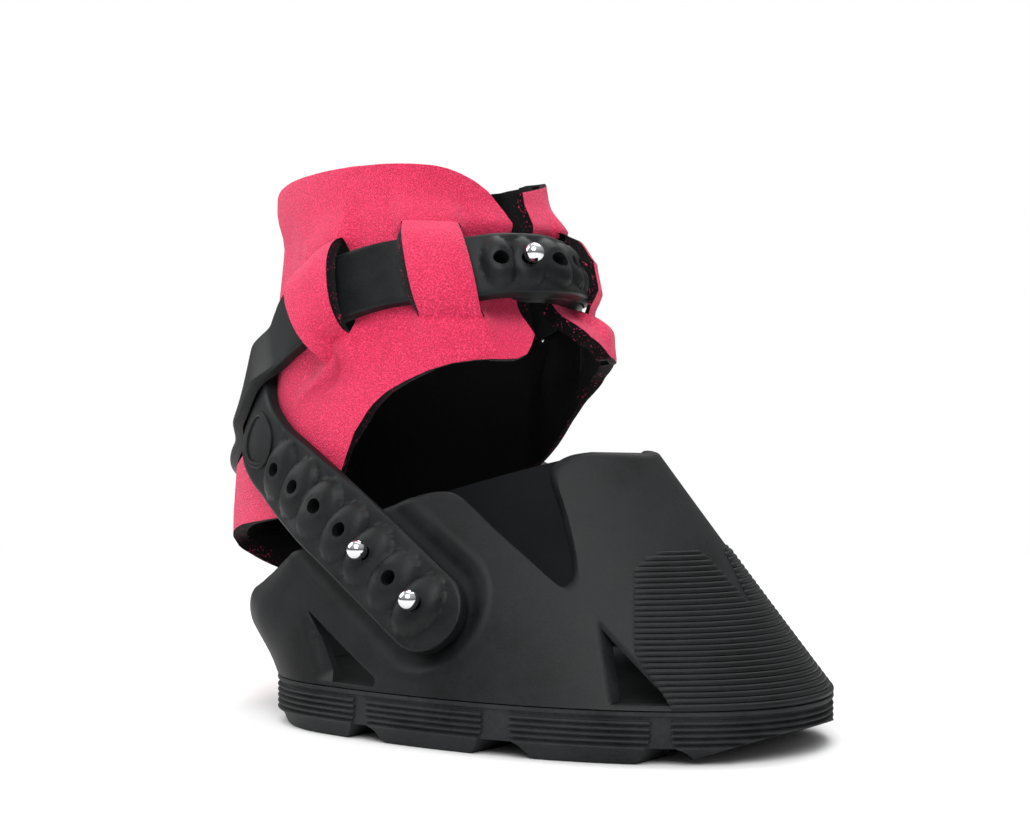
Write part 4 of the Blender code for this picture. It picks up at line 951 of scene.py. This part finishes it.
def build_strap(name, route, start, end, taper, bumps, holes, disc, node_name, raised=None):
    """A strap moulded flat, then laid along its route. Bumps and holes are (place, pitch) and places."""
    low, round_low = start
    high, round_high = end

    def half_width(length):
        half = mix(LOWER_WIDTH, UPPER_WIDTH, smooth((length - taper[0]) / (taper[1] - taper[0]))) / 2
        for near, is_round in ((length - low, round_low), (high - length, round_high)):
            if is_round and near < half:
                half *= math.sqrt(max(1 - (1 - near / half) ** 2, 0.0012))
        return half

    def top(length, across, half):
        rise = 0.0
        for place, pitch in bumps:
            reach = 1 - ((length - place) / (pitch * 0.565)) ** 2 - (across / (half * 0.80)) ** 2
            if reach > 0:
                seat = 0.3 * smooth((3.4 - math.hypot(length - place, across)) / 0.5)
                rise = max(rise, BUMP_HEIGHT * reach ** 0.5 - seat)
        edge = 0.95 * (1 - math.sqrt(max(1 - max(abs(across) / half * 1.0 - 0.88, 0.0) ** 2 / 0.0144, 0.0)))
        return STRAP_THICKNESS - edge + rise

    columns = round((high - low) / 0.7)
    ends = [low + 1.2 * k / 8 * k / 8 for k in range(8)] if round_low else []
    caps = [high - 1.2 * k / 8 * k / 8 for k in range(8)][::-1] if round_high else []
    inner_low, inner_high = (low + 1.2 if round_low else low), (high - 1.2 if round_high else high)
    stations = ends + [mix(inner_low, inner_high, k / columns) for k in range(columns + 1)] + caps
    across_shares = [-1.0, -0.985, -0.96, -0.92] + [mix(-0.86, 0.86, k / 20) for k in range(21)]
    across_shares += [0.92, 0.96, 0.985, 1.0]
    bm = bmesh.new()
    skin(bm, len(stations) - 1, len(across_shares) - 1,
         lambda u, v: Vector((stations[round(u * (len(stations) - 1))],
                              across_shares[round(v * (len(across_shares) - 1))], 1.0)))
    made = bmesh.ops.extrude_face_region(bm, geom=bm.faces[:], use_keep_orig=True)["geom"]
    under_verts = {item for item in made if isinstance(item, bmesh.types.BMVert)}
    for vert in bm.verts:
        length, share, _ = vert.co
        half = half_width(length)
        level = 0.0 if vert in under_verts else top(length, half * share, half)
        vert.co = Vector((length, half * share, level))
    close_up(bm, 0.001)
    drills = []
    for place in holes:
        drill = bmesh.new()
        bmesh.ops.create_cone(drill, cap_ends=True, segments=28, radius1=HOLE_RADIUS + 0.2,
                              radius2=HOLE_RADIUS + 0.3, depth=14.0, matrix=Matrix.Translation((place, 0, 3)))
        drills.append(drill)
    if drills:
        bm = cut(bm, drills)
    if disc:
        bm = cut(bm, [disc_ring(disc)], "UNION")
    for vert in bm.verts:
        spot, along, wide, normal = route.frame(vert.co.x)
        beside = spot + wide * vert.co.y
        vert.co = beside + normal * (vert.co.z + (raised(beside) if raised else 0.0))
    bmesh.ops.recalc_face_normals(bm, faces=bm.faces)
    return piece_from(bm, name, STRAP_RUBBER, None, node_name, 34)


# Studs

def turned(bm, profile, place, steps=28):
    """Spins a profile of (radius, height) about its own axis, and stands it at its place."""
    verts = [bm.verts.new((radius, 0.0, height)) for radius, height in profile]
    edges = [bm.edges.new(pair) for pair in zip(verts, verts[1:])]
    made = bmesh.ops.spin(bm, geom=verts + edges, cent=(0, 0, 0), axis=(0, 0, 1), angle=math.tau, steps=steps,
                          use_merge=True)
    bmesh.ops.remove_doubles(bm, verts=bm.verts, dist=0.002)
    bmesh.ops.recalc_face_normals(bm, faces=bm.faces)
    bmesh.ops.transform(bm, matrix=frame_matrix(*place), verts=bm.verts)
    return made


def build_stud(label, place, depth, body):
    rest = STRAP_THICKNESS + BUMP_HEIGHT * 0.95
    ball, neck = 3.0, 1.4
    top = rest + math.sqrt(ball ** 2 - HOLE_RADIUS ** 2) + LAYER_GAP
    start = math.asin(neck / ball)
    profile = [(0.0, top + ball)]
    for i in range(1, 15):
        angle = (math.pi - start) * i / 14
        profile.append((ball * math.sin(angle), top + ball * math.cos(angle)))
    bm = bmesh.new()
    turned(bm, profile + [(neck, -depth), (1.0, -depth), (1.0, 2.4 - depth), (0.0, 2.4 - depth)], place)
    piece_from(bm, f"{label}_ball_stud", STUD_CHROME, body, f"{label}_stud", 40)
    back = -depth - 0.3
    bm = bmesh.new()
    turned(bm, [(1.0, back), (4.0, back), (4.2, back - 0.15), (4.2, back - 0.45), (4.0, back - 0.6),
                (1.0, back - 0.6), (1.0, back)], place)
    piece_from(bm, f"{label}_flat_washer", ZINC_STEEL, body, f"{label}_washer", 40)
    head = back - 0.9
    bm = bmesh.new()
    turned(bm, [(0.0, 1.8 - depth), (0.7, 1.8 - depth), (0.7, head), (3.4, head), (3.35, head - 0.35),
                (2.9, head - 0.85), (2.0, head - 1.15), (1.35, head - 1.2), (1.1, head - 0.5),
                (0.0, head - 0.5)], place)
    piece_from(bm, f"{label}_pan_screw", ZINC_STEEL, body, f"{label}_screw", 40)


def build_straps_and_studs():
    one_strap = STRAP_THICKNESS + LAYER_GAP
    screw_room = 0.6 + 1.2 + LAYER_GAP * 2 + 0.3
    under = Route(UNDER_PLACES, -1, ((371, 389, screw_room, 14), (132, 236, 0.3, 16)))
    over = Route(OVER_PLACES, 1, ((11, 29, screw_room, 15), (132, 236, 0.3, 16)))
    lower = kdtree.KDTree(len(under.samples))
    stop = under.turn_length(378)
    for index, ((spot, _), length) in enumerate(zip(under.samples, under.lengths)):
        lower.insert(spot if length < stop else under.frame(stop)[0], index)
    lower.balance()

    def over_other(point):
        """How far the upper strap is raised where it lies on the lower one."""
        return one_strap * smooth((UPPER_WIDTH / 2 + 13.0 - lower.find(point)[2]) / 14.0)

    taper = (LOWER_PITCH * 14, LOWER_PITCH * 23)
    closure = over.turn_length(19.5)
    split = over.turn_length(47)
    tongue = under.turn_length(379.5)
    closure_bumps = [(closure + UPPER_PITCH * k, UPPER_PITCH) for k in range(-1, 5)]
    straps = []
    for label, route, end, name in (("right", under, (tongue + 8.4, True), "strap_right"),
                                    ("left", over, (split, False), "strap_left")):
        first = route.lengths[12]
        bumps = [(first + LOWER_PITCH * k, LOWER_PITCH) for k in range(7)]
        holes = [place for place, _ in bumps] + ([tongue] if label == "right" else [])
        strap = build_strap(f"{label}_long_strap", route, (first - 13.9, True), end, taper, bumps, holes,
                            first + LOWER_PITCH * 7.35, name, over_other if label == "left" else None)
        straps.append((label, strap))
        for spot_name, step in (("front", 0), ("rear", 2)):
            place = route.frame(first + LOWER_PITCH * step)
            build_stud(f"{label}_{spot_name}", place, WALL + 0.7, "boot")
    end = closure_bumps[-1][0] + UPPER_WIDTH
    tip = build_strap("closure_strap_tip", over, (split + LAYER_GAP, False), (end, True), taper, closure_bumps,
                      [place for place, _ in closure_bumps], None, "closure_strap_end", over_other)
    spot, along, wide, normal = over.frame(closure)
    build_stud("closure", (spot + normal * one_strap, along, wide, normal), one_strap, "cuff")
    return straps, tip


def place_mm(x, y, z):
    return ((x + SHIFT) * MM, y * MM, z * MM)


build_shell()
build_toe_ribs()
build_webs()
build_outsole()
cuff = build_cuff()
straps, tip = build_straps_and_studs()
for label, strap in straps:
    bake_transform(strap)
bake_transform(tip)


# Studio

def build_studio():
    bm = bmesh.new()
    bmesh.ops.create_grid(bm, x_segments=1, y_segments=1, size=6000.0)
    floor = piece_from(bm, "studio_floor", [])
    material, tree, shader = new_material("white_floor", Roughness=0.9, Specular_IOR_Level=0.2,
                                          Base_Color=linear("#f4f4f4"))
    place = node(tree, "ShaderNodeTexCoord").outputs["Object"]
    far = node(tree, "ShaderNodeVectorMath", {"operation": "LENGTH"}, i0=place)
    share = node(tree, "ShaderNodeMapRange", Value=far.outputs["Value"], i1=0.18, i2=0.75)
    seen = node(tree, "ShaderNodeLightPath").outputs["Is Camera Ray"]
    both = node(tree, "ShaderNodeMath", {"operation": "MULTIPLY"}, i0=share.outputs[0], i1=seen)
    glow = node(tree, "ShaderNodeEmission", Color=linear("#ffffff"), Strength=1.0)
    joined = node(tree, "ShaderNodeMixShader", i0=both.outputs[0], i1=shader.outputs[0], i2=glow.outputs[0])
    tree.links.new(joined.outputs[0], tree.nodes["Material Output"].inputs["Surface"])
    floor.data.materials.clear()
    floor.data.materials.append(material)
    world = bpy.data.worlds.new("studio")
    world.use_nodes = True
    bpy.context.scene.world = world
    tree = world.node_tree
    paths = node(tree, "ShaderNodeLightPath")
    height = node(tree, "ShaderNodeSeparateXYZ", Vector=node(tree, "ShaderNodeTexCoord").outputs["Generated"])
    sky = node(tree, "ShaderNodeMapRange", Value=height.outputs["Z"], i1=-0.05, i2=0.75, i3=0.10, i4=0.60)
    soft = node(tree, "ShaderNodeBackground", Color=linear("#ffffff"), Strength=sky.outputs[0])
    white = node(tree, "ShaderNodeBackground", Color=linear("#ffffff"), Strength=1.0)
    both = node(tree, "ShaderNodeMixShader", i0=paths.outputs["Is Camera Ray"], i1=soft.outputs[0],
                i2=white.outputs[0])
    tree.links.new(both.outputs[0], tree.nodes["World Output"].inputs["Surface"])
    for name, spot, size, power in (("key_softbox", (0.55, -0.85, 1.05), 0.9, 17.0),
                                    ("left_softbox", (-1.0, -0.45, 0.8), 0.9, 7.0),
                                    ("top_softbox", (-0.1, 0.5, 1.3), 1.1, 11.0)):
        lamp = bpy.data.lights.new(name, "AREA")
        lamp.size = size
        lamp.energy = power
        holder = bpy.data.objects.new(name, lamp)
        bpy.context.scene.collection.objects.link(holder)
        holder.location = spot
        holder.rotation_euler = (Vector((0, 0, 0.07)) - Vector(spot)).to_track_quat("-Z", "Y").to_euler()


def build_camera():
    """Level, at the height of the cuff's middle, turned 39.5 degrees to the boot's right of its toe."""
    camera = bpy.data.cameras.new("photo_camera")
    camera.sensor_width = 36.0
    camera.lens = 36.0 * 1745.0 / 1030.0
    holder = bpy.data.objects.new("photo_camera", camera)
    bpy.context.scene.collection.objects.link(holder)
    holder.location = place_mm(318.0, -416.0, 92.4)
    holder.rotation_euler = (math.radians(90), 0.0, math.radians(39.5))
    bpy.context.scene.camera = holder


build_studio()
build_camera()
bpy.context.scene.view_settings.view_transform = "Standard"
